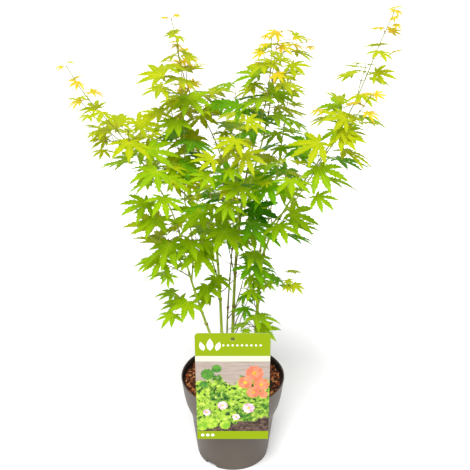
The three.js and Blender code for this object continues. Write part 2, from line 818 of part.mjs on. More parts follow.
const placed = [cardGuard()];
for (const [name, limb] of Object.entries(limbs)) {
  placed.push(...guardOfTube(limb.points, (t) => limbRadius(limb, t), name));
}

const masses = {};
for (const [name, sizes] of Object.entries(MASSES)) {
  masses[name] = { sizes, twigs: [], leaves: [] };
  addTwig(masses[name], route(startOf(sizes), sizes, TWIG.step), TWIG.across, name);
}
Object.values(masses).forEach((mass, i) => growMass(mass, i + 1));

const plant = new THREE.Group();
plant.add(meshOf("pot", makePot(), COLOURS.pot));
plant.add(meshOf("compost", makeCompost(), COLOURS.compost));
plant.add(meshOf("picture_card", makeCard(), COLOURS.card));
Object.entries(limbs).forEach(([name, limb], i) => {
  let solid = limbSolid(limb, 0);
  for (const [other, earlier] of Object.entries(limbs).slice(0, i)) {
    if (other === limb.on || (limb.on && earlier.on === limb.on)) {
      solid = solid.subtract(clearance(earlier));
    }
  }
  plant.add(meshOf(name, mainBody(solid), COLOURS.stem));
});
for (const [name, mass] of Object.entries(masses)) {
  plant.add(meshOf(name, massSolid(mass), COLOURS.leaf));
}

export default plant;
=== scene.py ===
# Young Japanese maple in a nursery pot, with a plain picture card hooked over the rim.
# Sizes are in millimetres and turned into metres where a mesh is made. +Z is up, and the
# origin is the middle of the pot's flat underside.
import math

import bpy
import numpy as np
from mathutils import Matrix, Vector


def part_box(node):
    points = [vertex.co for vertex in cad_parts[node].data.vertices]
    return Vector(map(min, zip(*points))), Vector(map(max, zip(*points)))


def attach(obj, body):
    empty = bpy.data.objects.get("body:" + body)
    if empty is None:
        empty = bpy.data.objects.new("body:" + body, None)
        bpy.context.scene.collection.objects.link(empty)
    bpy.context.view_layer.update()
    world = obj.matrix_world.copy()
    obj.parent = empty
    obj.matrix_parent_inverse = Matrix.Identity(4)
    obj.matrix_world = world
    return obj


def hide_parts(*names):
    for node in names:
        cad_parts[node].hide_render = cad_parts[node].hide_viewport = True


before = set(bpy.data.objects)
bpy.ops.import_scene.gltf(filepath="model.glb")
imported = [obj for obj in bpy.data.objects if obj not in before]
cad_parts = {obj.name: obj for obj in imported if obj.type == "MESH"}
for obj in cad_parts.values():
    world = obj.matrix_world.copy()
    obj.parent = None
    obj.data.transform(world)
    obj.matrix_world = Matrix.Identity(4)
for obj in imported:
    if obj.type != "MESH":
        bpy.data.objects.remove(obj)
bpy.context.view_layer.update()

MM = 0.001


# POT
# A thin plastic nursery pot, taupe outside and black inside, moulded in one piece. It widens
# in a soft shoulder below its collar, and three cut-outs at the foot let water out, each with
# a moulded pocket behind it.
pot = dict(
    height=172, wall=1.6, floor=3, foot=64.5, lip=1.3, sides=160, step=3, soft=5, samples=9,
    heights=(2, 88, 98, 111, 119, 136, 172),
    radii=(66.5, 76.7, 79, 84, 87, 90.5, 95),
    lip_angles=(-50, -20, 10, 45, 90, 135, 170, 200, 230),
    hollow=1.2, stand=(8, 6), foot_edge=(1.2, 0.7), corner=1.5,
)
drain = dict(
    count=3, first=-128, width=22, height=10, depth=14, past=2, rows=12,
    pocket_foot=1.5, pocket_inset=0.6, squareness=4,
)


def linear(level):
    """A display level from 0 to 255 as the light that it stands for."""
    share = level / 255
    return share / 12.92 if share <= 0.04045 else ((share + 0.055) / 1.055) ** 2.4


def paint(red, green, blue):
    return (linear(red), linear(green), linear(blue), 1.0)


class Field:
    """A number or colour that varies over a surface, worked out by its material's nodes."""

    def __init__(self, finish, socket):
        self.finish = finish
        self.socket = socket

    def maths(self, operation, first, second=0.0):
        return self.finish.node("ShaderNodeMath", {"operation": operation}, {0: first, 1: second})

    def __add__(self, other):
        return self.maths("ADD", self, other)

    def __radd__(self, other):
        return self.maths("ADD", other, self)

    def __sub__(self, other):
        return self.maths("SUBTRACT", self, other)

    def __rsub__(self, other):
        return self.maths("SUBTRACT", other, self)

    def __mul__(self, other):
        return self.maths("MULTIPLY", self, other)

    def __rmul__(self, other):
        return self.maths("MULTIPLY", other, self)

    def over(self, low, high):
        """0 below low, 1 above high, and a smooth rise between them."""
        settings = {"interpolation_type": "SMOOTHSTEP"}
        return self.finish.node("ShaderNodeMapRange", settings, {0: self, 1: low, 2: high})


class Finish:
    """A procedural material: one shader, and the nodes that feed it."""

    def __init__(self, name, roughness=0.5, **constants):
        self.material = bpy.data.materials.new(name)
        self.material.use_nodes = True
        self.tree = self.material.node_tree
        self.shader = self.tree.nodes["Principled BSDF"]
        self.shader.inputs["Roughness"].default_value = roughness
        for socket, value in constants.items():
            self.shader.inputs[socket.replace("_", " ")].default_value = value

    def node(self, kind, settings, values, out=0):
        """The output of a new node, with its settings and its sockets' values or links."""
        made = self.tree.nodes.new(kind)
        for name, setting in settings.items():
            setattr(made, name, setting)
        for name, value in values.items():
            if isinstance(value, Field):
                self.tree.links.new(value.socket, made.inputs[name])
            else:
                made.inputs[name].default_value = value
        return Field(self, made.outputs[out])

    def place(self):
        """Where a point lies on the piece, in metres."""
        return self.node("ShaderNodeTexCoord", {}, {}, "Object")

    def axes(self, place):
        parts = self.node("ShaderNodeSeparateXYZ", {}, {0: place}).socket.node
        return [Field(self, socket) for socket in parts.outputs]

    def stretched(self, place, scale):
        return self.node("ShaderNodeMapping", {}, {"Vector": place, "Scale": scale})

    def noise(self, place, scale, detail=3.0, roughness=0.5):
        values = {"Vector": place, "Scale": scale, "Detail": detail, "Roughness": roughness}
        return self.node("ShaderNodeTexNoise", {}, values)

    def own(self, attribute):
        return self.node("ShaderNodeAttribute", {"attribute_name": attribute}, {}, "Fac")

    def mix(self, share, first, second):
        return self.node("ShaderNodeMix", {"data_type": "RGBA"}, {0: share, 6: first, 7: second}, 2)

    def set(self, socket, value):
        if isinstance(value, Field):
            self.tree.links.new(value.socket, self.shader.inputs[socket])
        else:
            self.shader.inputs[socket].default_value = value

    def relief(self, height, depth):
        """Raises the surface by a field of height, depth metres from 0 to 1."""
        values = {"Height": height, "Distance": depth, "Strength": 1.0}
        self.set("Normal", self.node("ShaderNodeBump", {}, values))


def piece_of(name, mesh):
    made = bpy.data.objects.new(name, mesh)
    bpy.context.scene.collection.objects.link(made)
    return made


def mesh_of(name, places, faces, materials=(), slots=(), smooth=True, unit=MM):
    """A mesh from places in millimetres or another unit, with the material slot of each face."""
    mesh = bpy.data.meshes.new(name)
    mesh.from_pydata([tuple(c * unit for c in place) for place in places], [], faces)
    for material in materials:
        mesh.materials.append(material)
    if len(slots):
        mesh.polygons.foreach_set("material_index", slots)
    mesh.polygons.foreach_set("use_smooth", [smooth] * len(mesh.polygons))
    mesh.update()
    return mesh


def turned(profile, sides):
    """Places and faces of a profile turned about the upright, starting and ending on it."""
    places = [(0.0, 0.0, profile[0][1])]
    for radius, height in profile[1:-1]:
        for k in range(sides):
            angle = 2 * math.pi * k / sides
            places.append((radius * math.cos(angle), radius * math.sin(angle), height))
    places.append((0.0, 0.0, profile[-1][1]))
    faces, rows = [], []
    last = len(profile) - 3
    for k in range(sides):
        beside = (k + 1) % sides
        faces.append((0, 1 + beside, 1 + k))
        rows.append(0)
        for ring in range(last):
            low, high = 1 + ring * sides, 1 + (ring + 1) * sides
            faces.append((low + k, low + beside, high + beside, high + k))
            rows.append(ring + 1)
        top = 1 + last * sides
        faces.append((top + k, top + beside, len(places) - 1))
        rows.append(last + 1)
    return places, faces, rows


def wall_radius(height, inset=0.0):
    """The wall's radius at a height, with its shoulders rounded."""
    around = np.linspace(height - pot["soft"], height + pot["soft"], pot["samples"])
    return float(np.mean(np.interp(around, pot["heights"], pot["radii"]))) - inset


def pot_profile():
    """The wall's profile from its hollow foot up, over the lip and down inside, and the lip's row."""
    top = pot["height"] - pot["lip"]
    levels = np.arange(pot["heights"][0] + pot["step"], top, pot["step"])
    outer = [(wall_radius(z), z) for z in levels]
    inner = [(wall_radius(z, pot["wall"]), z) for z in levels[::-1]]
    middle = wall_radius(top) - pot["wall"] / 2
    lip = []
    for angle in map(math.radians, pot["lip_angles"]):
        across = min(middle + pot["lip"] * math.cos(angle), pot["radii"][-1])
        lip.append((across, top + pot["lip"] * math.sin(angle)))
    foot, (hollow_edge, stand_edge) = pot["foot"], pot["stand"]
    out, up = pot["foot_edge"]
    under = [(0, pot["hollow"]), (foot - hollow_edge, pot["hollow"]), (foot - stand_edge, 0.0), (foot, 0.0)]
    under.append((foot + out, up))
    side, floor, corner = inner[-1][0], pot["floor"], pot["corner"]
    inside = [(side, floor + corner), (side - corner, floor), (0, floor)]
    return [*under, *outer, *lip, *inner, *inside], len(under) + len(outer) + len(lip) // 2


def drain_blocks(margin, low, outer):
    """A curved block with a rounded top at each cut-out, grown by a margin on its hidden sides."""
    inner = pot["radii"][0] + drain["past"] - drain["depth"] - margin
    half = math.radians(drain["width"] / 2) + margin / inner
    return [drain_block(drain["first"] + 360 * k / drain["count"], half, (inner, outer), low, margin)
            for k in range(drain["count"])]


def drain_block(azimuth, half, radii, low, margin):
    """One such block: a row of cross sections from one side of the cut-out to the other."""
    rows = drain["rows"]
    places = []
    for k in range(rows + 1):
        share = 2 * k / rows - 1
        angle = math.radians(azimuth) + half * share
        top = margin + drain["height"] * math.sqrt(1 - share ** drain["squareness"])
        for radius in radii:
            for height in (low, max(top, low + 1)):
                places.append((radius * math.cos(angle), radius * math.sin(angle), height))
    faces = [(0, 2, 3, 1)]
    for k in range(rows):
        a, b = 4 * k, 4 * (k + 1)
        faces += [(a, a + 1, b + 1, b), (a + 2, b + 2, b + 3, a + 3)]
        faces += [(a, b, b + 2, a + 2), (a + 1, a + 3, b + 3, b + 1)]
    end = 4 * rows
    faces.append((end, end + 1, end + 3, end + 2))
    return piece_of("drain_block", mesh_of("drain_block", places, faces, smooth=False))


def combine(piece, blocks, operation):
    """Adds the blocks' shapes to a piece or takes them out of it, and removes the blocks."""
    for block in blocks:
        change = piece.modifiers.new("combine", "BOOLEAN")
        change.operation = operation
        change.object = block
    depsgraph = bpy.context.evaluated_depsgraph_get()
    piece.data = bpy.data.meshes.new_from_object(piece.evaluated_get(depsgraph))
    piece.modifiers.clear()
    for block in blocks:
        bpy.data.objects.remove(block)


def plastic(name, colour, worn, roughness):
    """Satin moulded plastic: cloudy colour, fine grain, dry dust and a few pale scuffs."""
    finish = Finish(name, roughness)
    place = finish.place()
    clouds = finish.noise(place, 22, 4)
    grain = finish.noise(place, 900, 2)
    streaks = finish.noise(finish.stretched(place, (1, 1, 0.12)), 160, 3)
    scuffs = finish.noise(finish.stretched(place, (1, 1, 3.5)), 70, 5, 0.6).over(0.62, 0.74)
    dust = finish.axes(place)[2].over(0.03, -0.002) * clouds.over(0.35, 0.6)
    shade = finish.mix(clouds * 0.35 + streaks * 0.2, colour, worn)
    finish.set("Base Color", finish.mix(scuffs * 0.22 + dust * 0.3, shade, worn))
    finish.set("Roughness", roughness + (grain - 0.5) * 0.18 + scuffs * 0.12)
    finish.relief(grain * 0.5 + streaks * 0.5, 0.00012)
    return finish.material


profile, rim_row = pot_profile()
places, faces, rows = turned(profile, pot["sides"])
taupe = plastic("taupe_plastic", paint(77, 66, 56), paint(90, 79, 69), 0.5)
black = plastic("black_plastic", paint(24, 18, 15), paint(50, 38, 30), 0.42)
pot_shell = piece_of("pot_shell", mesh_of(
    "pot_shell", places, faces, (taupe, black), [int(row > rim_row) for row in rows],
))
pockets = drain_blocks(pot["wall"], drain["pocket_foot"], pot["radii"][0] - drain["pocket_inset"])
combine(pot_shell, pockets, "UNION")
combine(pot_shell, drain_blocks(0, -drain["past"], pot["radii"][0] + drain["past"]), "DIFFERENCE")
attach(pot_shell, "root")
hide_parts("pot")


# COMPOST
# Moist bark compost, filled to a finger's breadth below the rim: a dark crumbly bed with
# shreds and chips of bark in rust, umber and tan lying loose over it.
bed = dict(
    top=160, rings=30, sides=96, under=3.3, corner=2, rise=1.6, clear=0.4, seed=4, edge=1, step=8,
    waves=(
        (0.31, 0.22, 1.1), (-0.24, 0.37, 2.3), (0.55, -0.48, 0.7), (0.12, 0.71, 4.2), (-0.83, -0.15, 3.1),
    ),
)
chip = dict(
    shapes=7, slim=(0.32, 1, 0.95, 0.8, 0.22), wide=0.17, thick=0.09, bend=0.12, shift=0.05, tilt=0.5,
    lengths=(0.9, 1.1), slims=(0.7, 1.25), widths=(0.6, 1.3), thicknesses=(0.6, 1.4),
    ground_inset=5, ground_lift=0.2, ground_sides=48,
)
chip_kinds = dict(
    rust=dict(density=26000, size=(4.0, 11.0), seed=11, colour=paint(122, 56, 24), worn=paint(172, 92, 46)),
    umber=dict(density=26000, size=(3.2, 9.0), seed=23, colour=paint(58, 30, 18), worn=paint(104, 58, 34)),
    tan=dict(density=9000, size=(4.0, 12.0), seed=37, colour=paint(170, 108, 58), worn=paint(206, 150, 96)),
)


class Maker:
    """A tree of geometry nodes with named inputs, which makes what repeats or follows a path."""

    KINDS = {"mesh": "NodeSocketGeometry", "number": "NodeSocketFloat", "whole": "NodeSocketInt",
             "group": "NodeSocketCollection", "finish": "NodeSocketMaterial"}

    def __init__(self, name, **inputs):
        self.tree = bpy.data.node_groups.new(name, "GeometryNodeTree")
        inputs = {"base": "mesh", "finish": "finish", **inputs}
        for title, kind in inputs.items():
            self.tree.interface.new_socket(title, in_out="INPUT", socket_type=self.KINDS[kind])
        self.tree.interface.new_socket("result", in_out="OUTPUT", socket_type="NodeSocketGeometry")
        start = self.tree.nodes.new("NodeGroupInput")
        self.given = {socket.name: socket for socket in start.outputs if socket.name}

    def node(self, kind, settings, values, out=0):
        made = self.tree.nodes.new(kind)
        for name, setting in settings.items():
            setattr(made, name, setting)
        for name, value in values.items():
            if isinstance(value, bpy.types.NodeSocket):
                self.tree.links.new(value, made.inputs[name])
            else:
                made.inputs[name].default_value = value
        return made.outputs[out]

    def own(self, attribute, kind="FLOAT"):
        return self.node("GeometryNodeInputNamedAttribute", {"data_type": kind}, {"Name": attribute})

    def end(self, result):
        """Real faces, shaded smooth, in the finish that was asked for."""
        real = self.node("GeometryNodeRealizeInstances", {}, {0: result})
        smooth = self.node("GeometryNodeSetShadeSmooth", {}, {0: real})
        dressed = self.node("GeometryNodeSetMaterial", {}, {0: smooth, "Material": self.given["finish"]})
        last = self.tree.nodes.new("NodeGroupOutput")
        self.tree.links.new(dressed, last.inputs[0])
        return self


def grown_on(name, mesh, maker, **values):
    """What a maker's tree makes of a mesh, as a plain piece."""
    made = piece_of(name, mesh)
    change = made.modifiers.new("shape", "NODES")
    change.node_group = maker.tree
    for item in maker.tree.interface.items_tree:
        if item.in_out == "INPUT" and item.name in values:
            change[item.identifier] = values[item.name]
    depsgraph = bpy.context.evaluated_depsgraph_get()
    depsgraph.update()
    result = bpy.data.meshes.new_from_object(made.evaluated_get(depsgraph))
    made.modifiers.clear()
    made.data = result
    return made


def shapes_of(name, meshes):
    """A group of loose shapes for a maker to pick from, in order."""
    group = bpy.data.collections.new(name)
    for k, mesh in enumerate(meshes):
        group.objects.link(bpy.data.objects.new(f"{name}_{k:02d}", mesh))
    return group


def crumbs(x, y):
    """Lumps of the bed's surface, from -1 to 1."""
    return sum(math.sin(a * x + b * y + c) for a, b, c in bed["waves"]) / len(bed["waves"])


def bed_mesh(finish):
    """The bed: a plug that fills the pot, with a lumpy top."""
    inset, surface = pot["wall"] + bed["clear"], bed["top"] - bed["edge"]
    inner = wall_radius(bed["top"], inset)
    side = [(wall_radius(z, inset), z) for z in range(bed["step"], surface, bed["step"])]
    top = [(inner * (1 - k / bed["rings"]), surface) for k in range(bed["rings"])]
    profile = [(0, bed["under"]), (side[0][0] - bed["corner"], bed["under"]), *side, *top, (0, surface)]
    places, faces, _ = turned(profile, bed["sides"])
    lifted = [(x, y, z + bed["rise"] * crumbs(x, y) if z >= surface else z) for x, y, z in places]
    return mesh_of("compost_bed", lifted, faces, (finish,))


def chip_mesh(name, seed):
    """A torn shred of bark, one unit long: a flat bar with ragged ends and edges."""
    jitter = np.random.default_rng(seed)
    rows = len(chip["slim"]) - 1
    places, faces = [], []
    bend = jitter.uniform(-chip["bend"], chip["bend"])
    for k in range(rows + 1):
        x = (k / rows - 0.5) * jitter.uniform(*chip["lengths"])
        slim = chip["slim"][k] * jitter.uniform(*chip["slims"])
        middle = bend * math.sin(math.pi * k / rows)
        for across, up in ((-1, -1), (1, -1), (1, 1), (-1, 1)):
            places.append((
                x + jitter.uniform(-chip["shift"], chip["shift"]),
                middle + across * chip["wide"] * slim * jitter.uniform(*chip["widths"]),
                up * chip["thick"] * slim * jitter.uniform(*chip["thicknesses"]),
            ))
    faces.append((0, 3, 2, 1))
    for k in range(rows):
        for j in range(4):
            a, b = 4 * k + j, 4 * k + (j + 1) % 4
            faces.append((a, b, b + 4, a + 4))
    faces.append(tuple(range(4 * rows, 4 * rows + 4)))
    return mesh_of(name, places, faces, smooth=False, unit=1)


def scattered_chips():
    """Chips laid flat or tilted at random over the bed."""
    maker = Maker("scattered_chips", chips="group", density="number", small="number", large="number",
                  seed="whole")
    given = maker.given
    points = maker.node("GeometryNodeDistributePointsOnFaces", {"distribute_method": "RANDOM"}, {
        "Mesh": given["base"], "Density": given["density"], "Seed": given["seed"],
    })
    tilt = maker.node("FunctionNodeRandomValue", {"data_type": "FLOAT_VECTOR"}, {
        0: (-chip["tilt"], -chip["tilt"], 0.0), 1: (chip["tilt"], chip["tilt"], 2 * math.pi),
        "Seed": given["seed"],
    })
    turn = maker.node("FunctionNodeEulerToRotation", {}, {0: tilt})
    size = maker.node("FunctionNodeRandomValue", {"data_type": "FLOAT"}, {
        2: given["small"], 3: given["large"], "Seed": given["seed"],
    }, 1)
    chips = maker.node("GeometryNodeCollectionInfo", {}, {
        "Collection": given["chips"], "Separate Children": True, "Reset Children": True,
    })
    placed_chips = maker.node("GeometryNodeInstanceOnPoints", {}, {
        "Points": points, "Instance": chips, "Pick Instance": True, "Rotation": turn, "Scale": size,
    })
    return maker.end(placed_chips)


def bark_chip(name, colour, worn):
    """Torn bark: fibres along and across it, darker in the hollows, damp in places."""
    finish = Finish(name, 0.8, Specular_IOR_Level=0.2)
    place = finish.place()
    fibres = finish.noise(finish.stretched(place, (1, 3, 2)), 420, 4, 0.6)
    damp = finish.noise(place, 60, 2).over(0.45, 0.6)
    finish.set("Base Color", finish.mix(fibres.over(0.35, 0.7), colour, worn))
    finish.set("Roughness", 0.88 - damp * 0.3)
    finish.relief(fibres, 0.0008)
    return finish.material


earth = bark_chip("dark_compost", paint(26, 17, 13), paint(58, 36, 26))
compost_bed = piece_of("compost_bed", bed_mesh(earth))
round_pockets = drain_blocks(pot["wall"] + bed["clear"], 0, pot["radii"][0] + drain["past"])
combine(compost_bed, round_pockets, "DIFFERENCE")
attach(compost_bed, "root")
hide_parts("compost")


def chip_ground():
    """The flat disc just over the bed that the chips are scattered on."""
    radius = wall_radius(bed["top"], pot["wall"]) - chip["ground_inset"]
    height, sides = bed["top"] + chip["ground_lift"], chip["ground_sides"]
    angles = np.linspace(0, 2 * math.pi, sides, endpoint=False)
    ring = [(radius * math.cos(a), radius * math.sin(a), height) for a in angles]
    faces = [(0, 1 + k, 1 + (k + 1) % sides) for k in range(sides)]
    return mesh_of("chip_ground", [(0, 0, height), *ring], faces)


chip_meshes = [chip_mesh(f"chip_shape_{k:02d}", bed["seed"] + k) for k in range(chip["shapes"])]
chip_shapes = shapes_of("chip_shape", chip_meshes)
chip_maker = scattered_chips()
for title, kind in chip_kinds.items():
    small, large = kind["size"]
    chips = grown_on(
        f"compost_chips_{title}", chip_ground(), chip_maker, chips=chip_shapes, density=kind["density"],
        small=small * MM, large=large * MM, seed=kind["seed"],
        finish=bark_chip(f"{title}_bark_chips", kind["colour"], kind["worn"]),
    )
    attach(chips, "root")


# PICTURE CARD
# A printed plastic card hangs on the pot's front by a tongue bent over the rim, with a hole at
# its top. The print is a plain garden scene of round shapes, and the card's back is bare.
card = dict(
    thick=0.8, front=-96.1, bottom=100, top=330, top_width=130, bottom_width=127, corner=7, corner_steps=8,
    hole=4, hole_drop=12, hole_steps=28, bevel=0.18, print=0.1, print_sunk=0.15,
)
hook = dict(
    width=26, depth=5, foot=162, rim=-95.3, over=0.3, bend=1.2, before_bend=1, knee=(0.6, 0.2), narrow=0.8,
)
bands = dict(header=282.7, strip=271.3, footer=118, blur=0.12)
grounds = dict(
    hedge_top=232, hedge_waves=60, soil_top=137, soil_waves=50, soil_slope=0.25, soil_from=5, blur=4,
)


def arc(x, z, radius, start, end, steps):
    """Places on an arc in the card's plane, between two angles in degrees."""
    angles = np.radians(np.linspace(start, end, steps + 1))
    return [(x + radius * math.cos(a), z + radius * math.sin(a)) for a in angles]


def card_outline():
    corner, top, steps = card["corner"], card["top"], card["corner_steps"]
    side = card["top_width"] / 2
    right = arc(side - corner, top - corner, corner, 0, 90, steps)
    left = arc(-side + corner, top - corner, corner, 90, 180, steps)
    low = card["bottom_width"] / 2
    return [(-low, card["bottom"]), (low, card["bottom"]), *right, *left]


def hole_ring():
    return arc(0, card["top"] - card["hole_drop"], card["hole"], 0, 360, card["hole_steps"])[:-1]


def plate(name, outline, front, thick, holes=(), materials=(), bevel=0.0):
    """A flat shape in the card's plane, standing thick millimetres back from its front."""
    curve = bpy.data.curves.new(name, "CURVE")
    curve.dimensions = "2D"
    curve.fill_mode = "BOTH"
    curve.extrude = thick / 2 * MM - bevel * MM
    curve.bevel_depth = bevel * MM
    for ring in (outline, *holes):
        line = curve.splines.new("POLY")
        line.points.add(len(ring) - 1)
        for point, (x, z) in zip(line.points, ring):
            point.co = (x * MM, z * MM, 0, 1)
        line.use_cyclic_u = True
    made = piece_of(name, curve)
    depsgraph = bpy.context.evaluated_depsgraph_get()
    depsgraph.update()
    mesh = bpy.data.meshes.new_from_object(made.evaluated_get(depsgraph))
    bpy.data.objects.remove(made)
    upright = Matrix.Rotation(math.pi / 2, 4, "X")
    mesh.transform(Matrix.Translation((0, (front + thick / 2) * MM, 0)) @ upright)
    mesh.materials.clear()
    for material in materials:
        mesh.materials.append(material)
    return mesh


def tongue_line():
    """The middle of the tongue from the card's back to its foot, as places across and up."""
    half = card["thick"] / 2
    back, over = hook["rim"] + hook["depth"], pot["height"] + hook["over"]
    knee_back, knee_over = hook["knee"]
    return [
        (card["front"] + half, over + half), (back - hook["before_bend"], over + half),
        (back + knee_back * half, over + knee_over * half),
        (back + half, over - hook["bend"]), (back + half, hook["foot"]),
    ]


def tongue_mesh():
    """The tongue: back over the rim and down inside it, with soft bends."""
    line, half = tongue_line(), card["thick"] / 2
    last = len(line) - 1
    places = []
    for k, (y, z) in enumerate(line):
        before, after = line[max(k - 1, 0)], line[min(k + 1, last)]
        way_y, way_z = unit_pair(after[0] - before[0], after[1] - before[1])
        reach = hook["width"] / 2 * (1 if k < last else hook["narrow"])
        for side in (-1, 1):
            for lift in (-half, half):
                places.append((side * reach, y - lift * way_z, z + lift * way_y))
    faces = [(0, 1, 3, 2)]
    for k in range(last):
        a, b = 4 * k, 4 * k + 4
        faces += [(a, a + 2, b + 2, b), (a + 2, a + 3, b + 3, b + 2)]
        faces += [(a + 3, a + 1, b + 1, b + 3), (a + 1, a, b, b + 1)]
    end = 4 * last
    faces.append((end, end + 2, end + 3, end + 1))
    return mesh_of("tongue", places, faces, smooth=False)


def unit_pair(a, b):
    size = math.hypot(a, b)
    return a / size, b / size


def joined(name, meshes):
    """Meshes as one piece, each keeping its own material."""
    made = [piece_of(f"{name}_{k}", mesh) for k, mesh in enumerate(meshes)]
    with bpy.context.temp_override(active_object=made[0], selected_editable_objects=made):
        bpy.ops.object.join()
    made[0].name = name
    return made[0]


def step_at(value, edge):
    """0 below an edge in millimetres and 1 above it, a hair's breadth soft."""
    return value.over((edge - bands["blur"]) * MM, (edge + bands["blur"]) * MM)


def planted(finish, place, patches, tufts):
    """The garden's greens: light and dark patches, pale tufts and deep gaps."""
    leaves = finish.node("ShaderNodeTexVoronoi", {}, {"Vector": place, "Scale": 210.0})
    green = finish.mix(patches.over(0.38, 0.62), paint(74, 128, 40), paint(160, 196, 62))
    green = finish.mix((tufts - 0.1 * leaves).over(0.5, 0.66), green, paint(214, 222, 110))
    return finish.mix((0.46 - tufts).over(0.0, 0.08), green, paint(38, 74, 34))


def garden_scene(finish, place):
    """Grey boards behind a hedge, with a slope of dark soil in front of it."""
    x, _, z = finish.axes(place)
    patches = finish.noise(place, 38, 4, 0.6)
    tufts = finish.noise(place, 160, 3, 0.6)
    boards = finish.noise(finish.stretched(place, (1, 1, 9)), 30, 3)
    wood = finish.mix(boards, paint(140, 122, 112), paint(196, 182, 172))
    soil = finish.mix(tufts.over(0.4, 0.6), paint(58, 44, 40), paint(104, 84, 74))
    blur = grounds["blur"] * MM
    above = z - grounds["hedge_top"] * MM + grounds["hedge_waves"] * MM * (patches - 0.5)
    scene = finish.mix(above.over(0.0, blur), planted(finish, place, patches, tufts), wood)
    below = (grounds["soil_top"] * MM - z) + grounds["soil_waves"] * MM * (patches - 0.5)
    below = below + grounds["soil_slope"] * (x - grounds["soil_from"] * MM)
    return finish.mix(below.over(0.0, blur), scene, soil)


def garden_print():
    """The print: a lime header and foot, a pale strip, soft garden tones, and a bare back."""
    finish = Finish("garden_print", 0.45, Specular_IOR_Level=0.1)
    place = finish.place()
    _, y, z = finish.axes(place)
    dots = finish.noise(place, 1600, 1)
    lime = finish.mix(dots * 0.2, paint(136, 158, 0), paint(144, 166, 4))
    printed = finish.mix(step_at(z, bands["strip"]), garden_scene(finish, place), paint(212, 214, 192))
    printed = finish.mix(step_at(z, bands["header"]), printed, lime)
    printed = finish.mix(step_at(bands["footer"] * MM - z, 0), printed, lime)
    behind = step_at(y, card["front"] + card["thick"] / 2)
    finish.set("Base Color", finish.mix(behind, printed, paint(232, 232, 226)))
    finish.set("Roughness", 0.32 + dots * 0.1)
    finish.relief(dots, 0.00003)
    return finish.material


def plain_print(name, colour, shade):
    """Printed ink of one tone, with the faint grain of the card under it."""
    finish = Finish(name, 0.45, Specular_IOR_Level=0.1)
    place = finish.place()
    clouds = finish.noise(place, 120, 3)
    finish.set("Base Color", finish.mix(clouds.over(0.35, 0.7), colour, shade))
    finish.relief(finish.noise(place, 1600, 1), 0.00003)
    return finish.material


def petals(x, z, radius, count, depth=0.2, turn=0.0, sharpness=0.6):
    """A round flower or leafy ball: a ring with as many soft lobes as count, sharp between them."""
    angles = np.linspace(0, 2 * math.pi, 10 * count, endpoint=False)
    reach = radius * (1 - depth * (1 - np.abs(np.cos(angles * count / 2 + turn)) ** sharpness))
    return [(x + r * math.cos(a), z + r * math.sin(a)) for a, r in zip(angles, reach)]


def sprig(x, z, length, lean):
    """A pointed leaf standing on its stalk, leaning by some degrees."""
    side = [(0, 0), (0.16, 0.18), (0.24, 0.42), (0.19, 0.68), (0.08, 0.88), (0, 1)]
    ring = side + [(-a, b) for a, b in side[-2:0:-1]]
    turn = math.radians(lean)
    return [(x + length * (a * math.cos(turn) + b * math.sin(turn)),
             z + length * (b * math.cos(turn) - a * math.sin(turn))) for a, b in ring]


inks = dict(
    white=plain_print("white_ink", paint(250, 250, 246), paint(240, 242, 234)),
    coral=plain_print("coral_ink", paint(238, 116, 86), paint(248, 146, 112)),
    lemon=plain_print("lemon_ink", paint(226, 190, 60), paint(196, 150, 50)),
    rose=plain_print("rose_ink", paint(246, 226, 232), paint(226, 150, 186)),
    leaf=plain_print("leaf_ink", paint(120, 176, 44), paint(190, 212, 78)),
    deep=plain_print("deep_ink", paint(60, 116, 44), paint(96, 152, 58)),
)
garden = garden_print()

# Each group's places are across, up and radius; the groups are printed in this order.
header_sprigs = dict(foot=294, places=((-50, 19, -18), (-39, 25, 0), (-28, 19, 18)))
header_dots = [(x, 305, 1.9) for x in range(-16, 56, 8)]
footer_dots = [(x, 109, 3) for x in (-54, -45, -36)]
coral_flowers = ((38, 246, 16), (22, 226, 13), (50, 222, 14), (36, 205, 12), (54, 200, 8))
coral_hearts = ((38, 246, 4), (22, 226, 3.5), (50, 222, 3.5), (36, 205, 3))
dark_bushes = ((-44, 244, 12), (-28, 256, 9), (-50, 222, 8))
rose_flowers = ((-18, 176, 9), (28, 170, 11), (-46, 160, 7), (6, 150, 7))
rose_hearts = ((-18, 176, 2.6), (28, 170, 3), (-46, 160, 2.2), (6, 150, 2.2))
light_bushes = ((-40, 136, 13), (-14, 132, 10), (-54, 128, 9))

motifs = [("white", sprig(x, header_sprigs["foot"], *size)) for x, *size in header_sprigs["places"]]
motifs += [("white", petals(x, z, r, 5, 0)) for x, z, r in header_dots]
motifs += [("coral", petals(x, z, r, 9, 0.16, x)) for x, z, r in coral_flowers]
motifs += [("lemon", petals(x, z, r, 7)) for x, z, r in coral_hearts]
motifs += [("deep", petals(x, z, r, 11, 0.2, z)) for x, z, r in dark_bushes]
motifs += [("rose", petals(x, z, r, 8, 0.22, x)) for x, z, r in rose_flowers]
motifs += [("lemon", petals(x, z, r, 7)) for x, z, r in rose_hearts]
motifs += [("leaf", petals(x, z, r, 12, 0.2, z)) for x, z, r in light_bushes]
motifs += [("white", petals(x, z, r, 6, 0)) for x, z, r in footer_dots]


def motif_plate(k, ink, ring):
    """A printed shape, a little further forward than the last one, so that none share a plane."""
    proud = card["print"] * (1 + k / len(motifs))
    thick = card["print"] + card["print_sunk"]
    return plate(f"motif_{k}", ring, card["front"] - proud, thick, (), [inks[ink]])


sheet = plate(
    "card_sheet", card_outline(), card["front"], card["thick"], [hole_ring()], [garden], card["bevel"],
)
tongue = tongue_mesh()
tongue.materials.append(inks["white"])
prints = [motif_plate(k, ink, ring) for k, (ink, ring) in enumerate(motifs)]
picture = joined("picture_card_print", [sheet, tongue, *prints])
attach(picture, "root")
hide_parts("picture_card")


